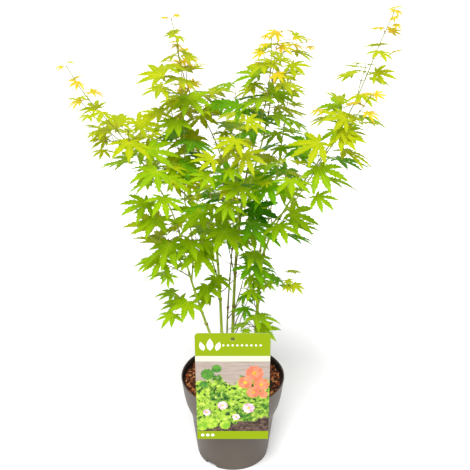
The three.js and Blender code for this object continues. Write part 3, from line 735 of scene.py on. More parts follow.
# STEMS AND BOUGHS
# Five slender green stems stand on the compost and fork into boughs. The wood is smooth and
# striped, with brown swollen joints where each pair of leaves once sat, and flares at its foot.
compost_top = 160.3
stems = {
    "stem_left": dict(
        foot=(-4, -14), heading=(-172, -165), rise=(72, 73, 77), length=258,
        across=(5.4, 3.8),
    ),
    "stem_mid_left": dict(
        foot=(-16, 8), heading=(155, 125, 135), rise=(87, 87, 84), length=275,
        across=(6, 4.4),
    ),
    "stem_thin": dict(
        foot=(-11, 24), heading=(95, 70, 80), rise=(88, 82, 64), length=270,
        across=(3.6, 2.4),
    ),
    "stem_centre": dict(
        foot=(-2, 0), heading=(70, 45, 25), rise=(88, 87, 82), length=370, across=(6.6, 4.6),
    ),
    "stem_right": dict(
        foot=(38, -4), heading=(-25, -35), rise=(88, 87), length=262, across=(7, 5.4),
    ),
}
boughs = {
    "bough_left_outer": dict(
        on="stem_left", at=1, heading=(-160, -163), rise=(78, 80, 70), length=138,
        across=(3.4, 2.6),
    ),
    "bough_left_upright": dict(
        on="stem_left", at=0.94, heading=(62, 110, 140), rise=(70, 76, 70), length=142,
        across=(3, 2.4),
    ),
    "bough_mid_left_low": dict(
        on="stem_mid_left", at=1, heading=(156, 163, 166), rise=(72, 58, 42), length=118,
        across=(3.8, 2.8),
    ),
    "bough_mid_left_high": dict(
        on="stem_mid_left", at=0.95, heading=(65, 60), rise=(66, 72), length=118,
        across=(3.4, 2.6),
    ),
    "bough_centre_left": dict(
        on="stem_centre", at=1, heading=(-36, -45), rise=(82, 76), length=92, across=(4, 3),
    ),
    "bough_centre_right": dict(
        on="stem_centre", at=0.95, heading=(30, 33), rise=(68, 74), length=136,
        across=(3.4, 2.6),
    ),
    "bough_centre_front": dict(
        on="stem_centre", at=0.7, heading=(-95, -85, -80), rise=(48, 62, 70), length=125,
        across=(2.8, 2.2),
    ),
    "bough_right_low": dict(
        on="stem_right", at=1, heading=(-105, -30, -16), rise=(85, 62, 44), length=142,
        across=(4.2, 3),
    ),
    "bough_right_high": dict(
        on="stem_right", at=0.95, heading=(40, 20, 14), rise=(74, 62, 54), length=160,
        across=(4, 3),
    ),
    "bough_back_left": dict(
        on="stem_mid_left", at=0.72, heading=(120, 128, 135), rise=(56, 64, 60), length=150,
        across=(3, 2.2),
    ),
    "bough_back_right": dict(
        on="stem_right", at=0.62, heading=(80, 72, 64), rise=(58, 68, 62), length=190,
        across=(3.4, 2.4),
    ),
}


limb_rule = dict(step=26, flare=0.55, flare_height=14, sides=12, fine=3.0, sunk=4.0, lumps=0.04)
joint_rule = dict(first=24, gap=(46, 74), bare_end=12, swell=0.3, length=2.4, fork=6)
# How old a limb's bark looks, from 0 to 1: a share of its own tone, and a little more to its tip
limb_age = dict(least=0.1, tone=0.7, tip=0.1, plain=0.3)
limb_tones = dict(
    stem_left=0.15, stem_mid_left=0.25, stem_thin=0.9, stem_centre=0.7, stem_right=0.1,
    bough_left_outer=0.5, bough_centre_left=0.8, bough_mid_left_low=0.7,
)
UP = np.array((0.0, 0.0, 1.0))


def chance(*keys):
    """A repeatable number from 0 to 1 for a set of whole-number keys, the last one for its use."""
    state = 7
    for key in (*keys, 3, 5):
        state = ((state * 31 + key + 1) * 48271) % 2147483647
    return state / 2147483647


def spread(amount, *keys):
    """A repeatable number within an amount of 0, either way."""
    return amount * (2 * chance(*keys) - 1)


def unit(vector):
    return vector / max(math.sqrt(float(vector @ vector)), 1e-12)


def heading(azimuth, rise):
    """The way that an azimuth and a rise in degrees point."""
    level = math.cos(math.radians(rise))
    azimuth = math.radians(azimuth)
    return np.array((level * math.cos(azimuth), level * math.sin(azimuth), math.sin(math.radians(rise))))


def lerp(first, second, share):
    return first + (second - first) * share


def along(sizes, t):
    """Value at t, from 0 to 1, in a short row of evenly spaced sizes."""
    place = t * (len(sizes) - 1)
    before = min(int(place), len(sizes) - 2)
    return lerp(sizes[before], sizes[before + 1], place - before)


def route(start, shoot, step):
    """A shoot's points in equal steps, each turned to the headings and rises of its sizes."""
    count = max(3, math.floor(shoot["length"] / step + 0.5))
    points = [start]
    for i in range(count):
        t = (i + 0.5) / count
        onward = heading(along(shoot["heading"], t), along(shoot["rise"], t))
        points.append(points[-1] + onward * shoot["length"] / count)
    return np.array(points)


def point_at(points, t):
    """The place at t, from 0 to 1, of a row of points."""
    place = t * (len(points) - 1)
    before = min(int(place), len(points) - 2)
    return lerp(points[before], points[before + 1], place - before)


def direction_at(points, t):
    before = min(int(t * (len(points) - 1)), len(points) - 2)
    return unit(points[before + 1] - points[before])


limbs = {}


def start_of(shoot):
    """Where a shoot starts: on the compost, or on the middle line of the limb that bears it."""
    if "foot" in shoot:
        return np.array((*shoot["foot"], compost_top), float)
    return point_at(limbs[shoot["on"]]["points"], shoot["at"])


def limb_radius(limb, t):
    """A limb's radius at t, with a flare where it stands on the compost."""
    plain = along(limb["across"], t) / 2
    flare = math.exp(-t * limb["length"] / limb_rule["flare_height"]) if "foot" in limb else 0
    return plain * (1 + limb_rule["flare"] * flare)


for name, sizes in {**stems, **boughs}.items():
    limbs[name] = {**sizes, "points": route(start_of(sizes), sizes, limb_rule["step"])}


def tubes_along():
    """Round bars along the base's edges, as thick as each point's own thickness says."""
    maker = Maker("tubes_along", sides="whole")
    line = maker.node("GeometryNodeMeshToCurve", {}, {"Mesh": maker.given["base"]})
    ring = maker.node("GeometryNodeCurvePrimitiveCircle", {}, {
        "Resolution": maker.given["sides"], "Radius": 1.0,
    })
    bars = maker.node("GeometryNodeCurveToMesh", {}, {
        "Curve": line, "Profile Curve": ring, "Scale": maker.own("thickness"), "Fill Caps": True,
    })
    return maker.end(bars)


def lines_of(name, rows):
    """Loose lines, each a row of points, with their numbers for each point."""
    places = [tuple(point * MM) for row in rows for point in row["points"]]
    edges, first = [], 0
    for row in rows:
        edges += [(first + k, first + k + 1) for k in range(len(row["points"]) - 1)]
        first += len(row["points"])
    mesh = bpy.data.meshes.new(name)
    mesh.from_pydata(places, edges, [])
    for title in (key for key in rows[0] if key != "points"):
        values = np.concatenate([row[title] for row in rows]).astype(np.float32)
        mesh.attributes.new(title, "FLOAT", "POINT").data.foreach_set("value", values)
    return mesh


def smoothed(points, step):
    """A smooth line through a route's points, about step apart, with each place's share of it."""
    ends = np.vstack([2 * points[0] - points[1], points, 2 * points[-1] - points[-2]])
    length = np.linalg.norm(np.diff(points, axis=0), axis=1).sum()
    count = max(4, int(length / step))
    rows, shares = [], np.linspace(0, 1, count + 1)
    for share in shares:
        place = share * (len(points) - 1)
        k = min(int(place), len(points) - 2)
        u = place - k
        a, b, c, d = ends[k:k + 4]
        rows.append(0.5 * (2 * b + (c - a) * u + (2 * a - 5 * b + 4 * c - d) * u ** 2
                           + (3 * b - a - 3 * c + d) * u ** 3))
    return np.array(rows), shares, length


def joints_of(seed, length):
    """How far up a limb each of its joints lies."""
    places, at, k = [], joint_rule["first"], 0
    while at < length - joint_rule["bare_end"]:
        places.append(at)
        at += lerp(*joint_rule["gap"], chance(seed, k, 40))
        k += 1
    return places


def limb_line(name, limb, seed):
    """A limb's smooth line, with its thickness, its swollen joints and its age at each point."""
    points, shares, length = smoothed(limb["points"], limb_rule["fine"])
    heights = shares * length
    radius = np.array([limb_radius(limb, share) for share in shares])
    joint = np.zeros(len(shares))
    for at in joints_of(seed, length):
        joint = np.maximum(joint, np.exp(-((heights - at) / joint_rule["length"]) ** 2))
    if "foot" in limb:
        points[0, 2] -= limb_rule["sunk"]
    else:
        joint = np.maximum(joint, np.exp(-(heights / joint_rule["fork"]) ** 2))
        points[0] -= direction_at(limb["points"], 0) * radius[0]
    lumps = np.array([spread(limb_rule["lumps"], seed, k, 41) for k in range(len(shares))])
    tone = limb_tones.get(name, limb_age["plain"])
    age = np.clip(limb_age["least"] + limb_age["tone"] * tone + limb_age["tip"] * shares, 0, 1)
    thickness = radius * (1 + joint_rule["swell"] * joint + lumps) * MM
    return dict(points=points, thickness=thickness, joint=joint, age=age)


def young_wood(name, fresh, old):
    """Smooth young bark: fresh tones with pale stripes, older ones with age, brown at the joints."""
    finish = Finish(name, 0.5, Specular_IOR_Level=0.25)
    place = finish.place()
    stripes = finish.noise(finish.stretched(place, (1, 1, 0.08)), 900, 3, 0.6)
    blotches = finish.noise(finish.stretched(place, (1, 1, 0.4)), 90, 3)
    pores = finish.noise(finish.stretched(place, (1, 1, 2.5)), 1400, 1).over(0.66, 0.72)
    joint, age = finish.own("joint"), finish.own("age")
    striped = finish.mix(stripes.over(0.35, 0.7), *fresh)
    blotched = finish.mix(blotches.over(0.4, 0.65), *old)
    aged = finish.mix((age * 1.2 + blotches * 0.8).over(0.85, 1.4), striped, blotched)
    ringed = finish.mix(joint.over(0.3, 0.95) * 0.7, aged, paint(92, 60, 32))
    finish.set("Base Color", finish.mix(pores * 0.25, ringed, paint(178, 170, 120)))
    finish.set("Roughness", 0.42 + blotches * 0.3 + joint * 0.15)
    finish.relief(stripes * 0.6 + pores * 0.4, 0.0004)
    return finish.material


tube_maker = tubes_along()
green_wood = young_wood(
    "green_wood", (paint(138, 166, 28), paint(178, 194, 66)), (paint(112, 130, 30), paint(112, 104, 40)),
)
limb_rows = [limb_line(name, limb, seed) for seed, (name, limb) in enumerate(limbs.items())]
stems_and_boughs = grown_on(
    "stems_and_boughs", lines_of("limb_lines", limb_rows), tube_maker,
    sides=limb_rule["sides"], finish=green_wood,
)
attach(stems_and_boughs, "root")
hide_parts(*limbs)


# BUDS
# Small pointed red-brown buds sit in opposite pairs at the joints of the stems and boughs, each
# pair a quarter turn on from the last.
bud = dict(
    rows=((0, 0.2), (0.2, 0.3), (0.5, 0.26), (0.8, 0.12)), sides=6, tip=1.05,
    size=4.2, out=0.45, seat=0.9, turn=25, first_side=(0.3, 1, 0.2),
)


def set_on_points():
    """Shapes set on the base's points, each by its own kind, turn and size."""
    maker = Maker("set_on_points", shapes="group")
    shapes = maker.node("GeometryNodeCollectionInfo", {}, {
        "Collection": maker.given["shapes"], "Separate Children": True, "Reset Children": True,
    })
    turn = maker.node("FunctionNodeEulerToRotation", {}, {0: maker.own("turn", "FLOAT_VECTOR")})
    return maker.end(maker.node("GeometryNodeInstanceOnPoints", {}, {
        "Points": maker.given["base"], "Instance": shapes, "Pick Instance": True,
        "Instance Index": maker.own("kind", "INT"), "Rotation": turn, "Scale": maker.own("size"),
    }))


def points_of(name, rows):
    """Loose points in millimetres, each with its axes, size and kind of shape."""
    mesh = bpy.data.meshes.new(name)
    mesh.from_pydata([tuple(row["place"] * MM) for row in rows], [], [])
    turns = [tuple(Matrix(np.stack(row["axes"], 1).tolist()).to_euler()) for row in rows]
    sizes = [row["size"] * MM for row in rows]
    kinds = [row["kind"] for row in rows]
    mesh.attributes.new("turn", "FLOAT_VECTOR", "POINT").data.foreach_set("vector", np.ravel(turns))
    mesh.attributes.new("size", "FLOAT", "POINT").data.foreach_set("value", sizes)
    mesh.attributes.new("kind", "INT", "POINT").data.foreach_set("value", kinds)
    return mesh


def turned_about(vector, axis, degrees):
    """A vector swung about an axis of length one."""
    angle = math.radians(degrees)
    swung = vector * math.cos(angle) + np.cross(axis, vector) * math.sin(angle)
    return swung + axis * float(axis @ vector) * (1 - math.cos(angle))


def bud_mesh():
    """A small pointed bud, one unit long, that stands on its own flat end."""
    sides, rings = bud["sides"], len(bud["rows"]) - 1
    angles = [k * 2 * math.pi / sides for k in range(sides)]
    places = [(r * math.cos(a), r * math.sin(a), z) for z, r in bud["rows"] for a in angles]
    places.append((0, 0, bud["tip"]))
    faces = [tuple(range(sides - 1, -1, -1))]
    for ring in range(rings):
        low, high = sides * ring, sides * (ring + 1)
        faces += [(low + k, low + (k + 1) % sides, high + (k + 1) % sides, high + k) for k in range(sides)]
    top = sides * rings
    faces += [(top + k, top + (k + 1) % sides, len(places) - 1) for k in range(sides)]
    return mesh_of("bud_shape", places, faces, unit=1)


def bud_at(limb, points, t, turn):
    """A bud's place on its limb and its axes: it leans out and along the limb."""
    onward = direction_at(limb["points"], t)
    out = turned_about(unit(np.cross(onward, bud["first_side"])), onward, turn)
    up = unit(out * bud["out"] + onward)
    side = unit(np.cross(up, out))
    place = point_at(points, t) + out * limb_radius(limb, t) * bud["seat"]
    return dict(place=place, axes=(np.cross(side, up), side, up), size=bud["size"], kind=0)


def bud_rows():
    """Opposite buds at each joint, each pair a quarter turn on from the last."""
    rows = []
    for seed, limb in enumerate(limbs.values()):
        points, _, length = smoothed(limb["points"], limb_rule["fine"])
        for k, at in enumerate(joints_of(seed, length)):
            for half in (0, 180):
                rows.append(bud_at(limb, points, at / length, 90 * k + half + bud["turn"] * seed))
    return rows


point_maker = set_on_points()
brown_bud = Finish("red_brown_buds", 0.4)
scales = brown_bud.noise(brown_bud.place(), 700, 3)
brown_bud.set("Base Color", brown_bud.mix(scales, paint(92, 40, 28), paint(150, 92, 50)))
brown_bud.relief(scales, 0.0003)
buds = grown_on(
    "buds", points_of("bud_points", bud_rows()), point_maker,
    shapes=shapes_of("bud_shape", [bud_mesh()]), finish=brown_bud.material,
)
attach(buds, "root")


# TWIGS
# Slender shoots carry the foliage. Each grows out of a stem or bough and bears its leaves in
# opposite pairs, a quarter turn on each time. Where there is room it forks into finer twigs.
masses = {
    "spray_left_drooping": dict(
        on="bough_left_outer", at=0.74, heading=(-180, -173), rise=(33, 16), length=46,
        pairs=2, leaf=(71, 50), droop=(22, 26), turn=10, branching=0,
    ),
    "spray_left_middle": dict(
        on="bough_left_outer", at=0.35, heading=(-170, -169), rise=(31, 16), length=42,
        pairs=2, leaf=(55, 60), droop=(15, 22), turn=35, branching=0,
    ),
    "spray_left_low": dict(
        on="stem_left", at=0.97, heading=(-180, -180), rise=(38, 24), length=53, pairs=2,
        leaf=(45, 45), droop=(26, 30), turn=120, branching=0,
    ),
    "spray_left_inner": dict(
        on="bough_left_upright", at=0.48, heading=(-68, -54), rise=(43, 21), length=35,
        pairs=2, leaf=(53, 56), droop=(30, 32), turn=70, branching=0,
    ),
    "spray_foot_left": dict(
        on="stem_left", at=0.72, heading=(-158, -170), rise=(24, 13), length=37, pairs=2,
        leaf=(44, 43), droop=(22, 32), turn=30, branching=0,
    ),
    "spray_foot_middle": dict(
        on="stem_mid_left", at=0.71, heading=(-122, -108), rise=(33, 14), length=28, pairs=2,
        leaf=(26, 46), droop=(30, 29), turn=70, branching=0,
    ),
    "spray_front_left": dict(
        on="bough_mid_left_low", at=0.32, heading=(-93, -74), rise=(43, 27), length=79,
        pairs=3, leaf=(51, 56), droop=(18, 27), turn=130, branching=0,
    ),
    "spray_middle_high": dict(
        on="bough_mid_left_high", at=0.56, heading=(-60, -74), rise=(40, 34), length=86,
        pairs=3, leaf=(48, 67), droop=(26, 32), turn=65, branching=0,
    ),
    "spray_front_middle": dict(
        on="stem_centre", at=0.8, heading=(-69, -61), rise=(21, 10), length=67, pairs=3,
        leaf=(36, 50), droop=(30, 24), turn=0, branching=0,
    ),
    "spray_foot_shoot": dict(
        on="stem_centre", at=0.39, heading=(-39, -56, -58), rise=(72, 72, 75), length=126,
        pairs=2, leaf=(41, 57), droop=(19, 26), turn=160, branching=0,
    ),
    "spray_right_low": dict(
        on="stem_right", at=0.46, heading=(-130, -65), rise=(44, 22), length=35, pairs=2,
        leaf=(30, 46), droop=(14, 30), turn=170, branching=0,
    ),
    "spray_right_side": dict(
        on="stem_right", at=0.77, heading=(-8, -1), rise=(39, 9), length=59, pairs=2,
        leaf=(33, 31), droop=(29, 28), turn=100, branching=0,
    ),
    "spray_right_middle": dict(
        on="bough_right_low", at=0.47, heading=(-11, -37), rise=(37, 22), length=42, pairs=3,
        leaf=(47, 58), droop=(14, 26), turn=75, branching=0,
    ),
    "spray_right_inner": dict(
        on="bough_right_high", at=0.44, heading=(96, 116), rise=(35, 40), length=80, pairs=3,
        leaf=(46, 58), droop=(30, 32), turn=90, branching=0,
    ),
    "spray_back_low": dict(
        on="stem_centre", at=0.59, heading=(105, 104), rise=(44, 24), length=92, pairs=3,
        leaf=(50, 57), droop=(32, 32), turn=20, branching=0,
    ),
    "foliage_left_outer": dict(
        on="bough_left_outer", at=1, heading=(-169, -180, -166, -180), rise=(68, 58, 53, 65),
        length=295, pairs=8, leaf=(60, 54, 33, 15), droop=(28, 10), turn=10, branching=0.3,
    ),
    "foliage_left_upright": dict(
        on="bough_left_upright", at=1, heading=(73, 94, 105, 167), rise=(82, 85, 80, 76),
        length=311, pairs=8, leaf=(56, 54, 43, 15), droop=(28, 8), turn=40, branching=0.3,
    ),
    "foliage_mid_left_low": dict(
        on="bough_mid_left_low", at=1, heading=(172, 168, 178), rise=(40, 38, 55), length=230,
        pairs=6, leaf=(55, 45, 36, 21), droop=(24, 4), turn=160, branching=0.35,
    ),
    "foliage_mid_left_high": dict(
        on="bough_mid_left_high", at=1, heading=(137, 167, 175), rise=(78, 60, 82), length=264,
        pairs=7, leaf=(50, 54, 36, 15), droop=(21, 8), turn=10, branching=0.35,
    ),
    "foliage_centre_left": dict(
        on="bough_centre_left", at=1, heading=(-42, -45, -80), rise=(71, 75, 92), length=216,
        pairs=7, leaf=(60, 53, 44, 16), droop=(27, 8), turn=15, branching=0.35,
    ),
    "foliage_centre_right": dict(
        on="bough_centre_right", at=1, heading=(43, 39, 30), rise=(72, 86, 77), length=169,
        pairs=6, leaf=(54, 43, 36, 23), droop=(28, 8), turn=20, branching=0.35,
    ),
    "foliage_right_high": dict(
        on="bough_right_high", at=1, heading=(19, -3, 5, 9), rise=(53, 62, 72, 68), length=335,
        pairs=8, leaf=(63, 54, 37, 18), droop=(22, 8), turn=75, branching=0.3,
    ),
    "foliage_right_low": dict(
        on="bough_right_low", at=1, heading=(0, -16, -28, 7), rise=(59, 64, 56, 59),
        length=238, pairs=7, leaf=(62, 58, 45, 20), droop=(25, 10), turn=120, branching=0.35,
    ),
    "foliage_thin": dict(
        on="stem_thin", at=1, heading=(94, 72, 44), rise=(72, 63, 83), length=219, pairs=6,
        leaf=(58, 35), droop=(28, 7), turn=0, branching=0.3,
    ),
    "foliage_front": dict(
        on="bough_centre_front", at=1, heading=(-98, -72), rise=(64, 84), length=202, pairs=6,
        leaf=(58, 35), droop=(28, 15), turn=45, branching=0.35,
    ),
    "foliage_back_left": dict(
        on="bough_back_left", at=1, heading=(135, 122, 124), rise=(59, 71, 75), length=209,
        pairs=7, leaf=(60, 54, 46, 21), droop=(12, 10), turn=150, branching=0.35,
    ),
    "foliage_back_right": dict(
        on="bough_back_right", at=1, heading=(72, 65, 45), rise=(55, 73, 82), length=220,
        pairs=7, leaf=(60, 54, 36, 21), droop=(28, 9), turn=85, branching=0.35,
    ),
}


# Half a blade's outline: each lobe's tip and the notch after it, as an angle from the middle
# lobe and a reach in leaf sizes
LOBES = ((0, 1), (36, 0.93), (74, 0.72), (120, 0.42))
NOTCHES = ((18, 0.36), (55, 0.33), (96, 0.24), (163, 0.07))
leaf_rule = dict(thick=1.9, curl=0.16, stalk=0.48, stalk_radius=0.5, spread=58, lift=0.1)
vary = dict(turn=14, spread=10, stalk=0.25, azimuth=26, droop=14, roll=22, size=0.12, shoot=20)
pair_rule = dict(crowding=0.85, shoots_below=0.75)
tries = ((0, 0), (26, 8), (-26, 8), (52, -8), (-52, -8), (12, 26), (-12, -24), (78, 12), (-78, 12))
twig_rule = dict(step=36, across=(2.8, 2))
shoot_rule = dict(length=(46, 78), rise=(34, 16), pairs=2, share=0.86, across=(2.4, 2), first_key=100)
room = dict(leaf=1.6, edge=1.03, twig=1.2, corner=1.5, stalk=(0.2, 0.8), steep=0.8, most=4096)
card_block = dict(x=(-65, 65), y=(-97.8, -87.2), z=(98, 332))


def leaf_axes(leaf):
    """Ahead along a leaf's middle lobe, aside, and up from its face."""
    ahead = heading(leaf["azimuth"], -leaf["droop"])
    aside = turned_about(unit(np.cross(UP, ahead)), ahead, leaf["roll"])
    return ahead, aside, np.cross(ahead, aside)


def leaf_outline():
    """A blade's whole outline, from its last lobe on one side round to that on the other."""
    half = [point for pair in zip(LOBES, NOTCHES) for point in pair]
    return np.array([(-angle, reach) for angle, reach in half[:0:-1]] + half)


outline = leaf_outline()
star = [(0, k, k + 1) for k in range(2, len(outline) + 1)]
star += [(1, k + 1, k) for k in range(2, len(outline) + 1)] + [(1, 2, len(outline) + 1)]
prism = [(k, (k + 1) % 4, 4 + (k + 1) % 4) for k in range(4)]
prism += [(k, 4 + (k + 1) % 4, 4 + k) for k in range(4)]
prism += [(0, 1, 2), (0, 2, 3), (4, 6, 5), (4, 7, 6)]


def edges_of(faces):
    pairs = {tuple(sorted(pair)) for a, b, c in faces for pair in ((a, b), (b, c), (c, a))}
    return np.array(sorted(pairs))


star_edges, prism_edges = edges_of(star), edges_of(prism)
star, prism = np.array(star), np.array(prism)


def guard(places, faces, edges, owner):
    """Faces, edges and box of a piece with room round it, to find what it would touch."""
    return dict(faces=places[faces], edges=places[edges], box=(places.min(0), places.max(0)), owner=owner)


def blade_guard(leaf, thick, edge):
    """A blade's guard: a thick middle that thins to the outline, curled down to its edge."""
    ahead, aside, above = leaf_axes(leaf)
    angle, reach = np.radians(outline[:, 0]), outline[:, 1]
    far = leaf["size"] * reach * edge
    rim = leaf["base"] + np.outer(far * np.cos(angle), ahead) + np.outer(far * np.sin(angle), aside)
    rim = rim - np.outer(leaf_rule["curl"] * leaf["size"] * reach ** 2, above)
    middle = [leaf["base"] + above * thick / 2, leaf["base"] - above * thick / 2]
    return guard(np.vstack([middle, rim]), star, star_edges, "blade")


def tube_guards(points, radius_at, owner):
    """A four-sided guard round each length of a twig, stalk or limb."""
    guards = []
    for i in range(len(points) - 1):
        radius = radius_at((i + 0.5) / (len(points) - 1)) * room["corner"] + room["twig"]
        onward = unit(points[i + 1] - points[i])
        reference = np.array((1.0, 0.0, 0.0)) if onward[2] > room["steep"] else UP
        aside = unit(np.cross(reference, onward)) * radius
        other = np.cross(aside, onward)
        ring = np.array((other, aside, -other, -aside))
        guards.append(guard(np.vstack([points[i] + ring, points[i + 1] + ring]), prism, prism_edges, owner))
    return guards


def card_guard():
    x, y, z = (card_block[k] for k in "xyz")
    base = [(x[0], y[0]), (x[1], y[0]), (x[1], y[1]), (x[0], y[1])]
    places = np.array([(*p, level) for level in z for p in base], float)
    return guard(places, prism, prism_edges, "card")


def pierce(edges, faces):
    """Whether any of the edges passes through any of the faces."""
    start, way = edges[:, None, 0], edges[:, None, 1] - edges[:, None, 0]
    corner = faces[None, :, 0]
    first, second = faces[None, :, 1] - corner, faces[None, :, 2] - corner
    crossed = np.cross(way, second)
    size = (first * crossed).sum(-1)
    size = np.where(abs(size) < 1e-9, np.inf, size)
    away = start - corner
    u = (away * crossed).sum(-1) / size
    turned_away = np.cross(away, first)
    v = (way * turned_away).sum(-1) / size
    far = (second * turned_away).sum(-1) / size
    inside = (u >= 0) & (v >= 0) & (u + v <= 1) & (far >= 0) & (far <= 1) & np.isfinite(size)
    return bool(inside.any())


class Placed:
    """All guards that stand so far, with their boxes side by side for a quick first test."""

    def __init__(self):
        self.guards = []
        self.low = np.zeros((room["most"], 3))
        self.high = np.zeros((room["most"], 3))

    def add(self, *guards):
        for one in guards:
            place = len(self.guards)
            self.low[place], self.high[place] = one["box"]
            self.guards.append(one)

    def drop(self, count):
        del self.guards[len(self.guards) - count:]

    def free(self, one, bearer):
        """Whether a guard touches none of those that stand, apart from its bearer's own."""
        count = len(self.guards)
        low, high = one["box"]
        near = ((self.low[:count] <= high) & (self.high[:count] >= low)).all(1)
        close = [self.guards[k] for k in np.flatnonzero(near)]
        close = [other for other in close if other["owner"] != bearer]
        if not close:
            return True
        if pierce(np.concatenate([other["edges"] for other in close]), one["faces"]):
            return False
        return not pierce(one["edges"], np.concatenate([other["faces"] for other in close]))


placed = Placed()
placed.add(card_guard())
for name, limb in limbs.items():
    placed.add(*tube_guards(limb["points"], lambda t: limb_radius(limb, t), name))


def make_leaf(twig, t, side, size, droop, attempt, keys):
    """A leaf at t on its twig, on the side that faces some degrees round it, for one attempt."""
    onward = direction_at(twig["points"], t)
    flat = unit(np.cross(UP, onward))
    raised = np.cross(onward, flat)
    swing, drop = tries[attempt]
    turn = math.radians(side + spread(vary["turn"], *keys, 1))
    outward = flat * math.cos(turn) + raised * math.sin(turn)
    opened = math.radians(leaf_rule["spread"] + spread(vary["spread"], *keys, 2))
    way = onward * math.cos(opened) + outward * math.sin(opened) + UP * leaf_rule["lift"]
    way = unit(turned_about(way, UP, swing / 2))
    length = size * leaf_rule["stalk"] * (1 + spread(vary["stalk"], *keys, 3))
    start = point_at(twig["points"], t)
    azimuth = math.degrees(math.atan2(way[1], way[0]))
    return {
        "start": start, "base": start + way * length, "size": size,
        "azimuth": azimuth + spread(vary["azimuth"], *keys, 4) + swing / 2,
        "droop": droop + spread(vary["droop"], *keys, 5) + drop,
        "roll": spread(vary["roll"], *keys, 6),
    }


def place_leaf(twig, t, side, size, droop, keys, leaf_room=room["leaf"], edge=room["edge"]):
    """One leaf at its first free place, or none."""
    for attempt in range(len(tries)):
        leaf = make_leaf(twig, t, side, size, droop, attempt, keys)
        blade = blade_guard(leaf, leaf_rule["thick"] + 2 * leaf_room, edge)
        ends = np.array([lerp(leaf["start"], leaf["base"], share) for share in room["stalk"]])
        stalk = tube_guards(ends, lambda t: leaf_rule["stalk_radius"], twig["owner"])[0]
        if placed.free(blade, None) and placed.free(stalk, twig["owner"]):
            placed.add(blade, stalk)
            return leaf
    return None


def add_twig(mass, points, across, owner):
    """Gives a twig to its mass and its guards to what stands."""
    placed.add(*tube_guards(points, lambda t: along(across, t) / 2, owner))
    twig = dict(points=points, across=across, owner=owner)
    mass["twigs"].append(twig)
    return twig


def place_shoot(mass, leader, t, side, keys, rule=None):
    """A side shoot, or None where it would touch something."""
    rule = rule or shoot_rule
    onward = direction_at(leader["points"], t)
    flat = unit(np.cross(UP, onward))
    turn = math.radians(side)
    outward = flat * math.cos(turn) + np.cross(onward, flat) * math.sin(turn)
    azimuth = math.degrees(math.atan2(outward[1], outward[0]))
    sizes = dict(
        length=lerp(*rule["length"], chance(*keys, 7)),
        heading=(azimuth, azimuth + spread(vary["shoot"], *keys, 8)),
        rise=rule["rise"],
    )
    points = route(point_at(leader["points"], t), sizes, rule.get("step", twig_rule["step"]))
    owner = leader["owner"] + " " + " ".join(map(str, keys))
    guards = tube_guards(points, lambda t: rule["across"][0] / 2, owner)
    if all(placed.free(one, leader["owner"]) for one in guards):
        return add_twig(mass, points, rule["across"], owner)
    return None


def leaf_pairs(mass, twig, sizes, seed):
    """Pairs of leaves up a twig, each pair a quarter turn on from the last."""
    branches = []
    for pair in range(sizes["pairs"]):
        share = (pair + 1) / sizes["pairs"]
        t = share ** pair_rule["crowding"]
        droop = along(sizes["droop"], t)
        for half in (0, 1):
            keys = (seed, pair, half)
            side = sizes["turn"] + 90 * pair + 180 * half
            shooting = share < pair_rule["shoots_below"] and chance(*keys, 9) < sizes["branching"]
            size = along(sizes["leaf"], t) * (1 + spread(vary["size"], *keys, 10))
            shoot = place_shoot(mass, twig, t, side, keys) if shooting else None
            if shoot:
                branches.append((shoot, size, droop, t))
                continue
            leaf = place_leaf(twig, t, side, size, droop, keys)
            if leaf:
                mass["leaves"].append({**leaf, "share": sizes.get("share", t), "young": 0})
    return branches


def grow_mass(mass, seed):
    """The pairs of a mass's leader, and then those of each shoot that it has put out."""
    for i, (shoot, size, droop, t) in enumerate(leaf_pairs(mass, mass["twigs"][0], mass["sizes"], seed)):
        size *= shoot_rule["share"]
        sizes = dict(
            pairs=shoot_rule["pairs"], leaf=(size, size), droop=(droop, droop), turn=0, branching=0, share=t,
        )
        leaf_pairs(mass, shoot, sizes, shoot_rule["first_key"] * (seed + 1) + i)


grown = {}
for name, sizes in masses.items():
    grown[name] = dict(sizes=sizes, twigs=[], leaves=[])
    add_twig(grown[name], route(start_of(sizes), sizes, twig_rule["step"]), twig_rule["across"], name)
for seed, mass in enumerate(grown.values(), 1):
    grow_mass(mass, seed)


fine_rule = dict(
    length=(14, 34), rise=(30, 12), step=9, across=(1.5, 1.1), places=5, size=(0.5, 0.74), room=0.7,
    edge=1.0, stand_out=6, sides=4, lone=0.3, young=0.22, lush=(0.3, 0.62), lush_from=360, lush_over=560,
    start=0.6, jitter=0.3, first_side=45, side_turn=37, first_key=500,
)


def within(leaf, name):
    """Whether a leaf keeps to the space that its own spray fills."""
    low, high = (np.array(corner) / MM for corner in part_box(name))
    places = blade_guard(leaf, 0, 1.0)["faces"].reshape(-1, 3)
    spare = fine_rule["stand_out"]
    return bool((places > low - spare).all() and (places < high + spare).all())


def fine_leaf(mass, name, twig, t, side, size, droop, keys):
    """One smaller leaf of a fine twig, if there is room for it in its spray."""
    leaf = place_leaf(twig, t, side, size, droop, keys, fine_rule["room"], fine_rule["edge"])
    if leaf is None:
        return False
    if not within(leaf, name):
        placed.drop(2)
        return False
    mass["leaves"].append({**leaf, "share": twig["share"], "young": fine_rule["young"]})
    return True


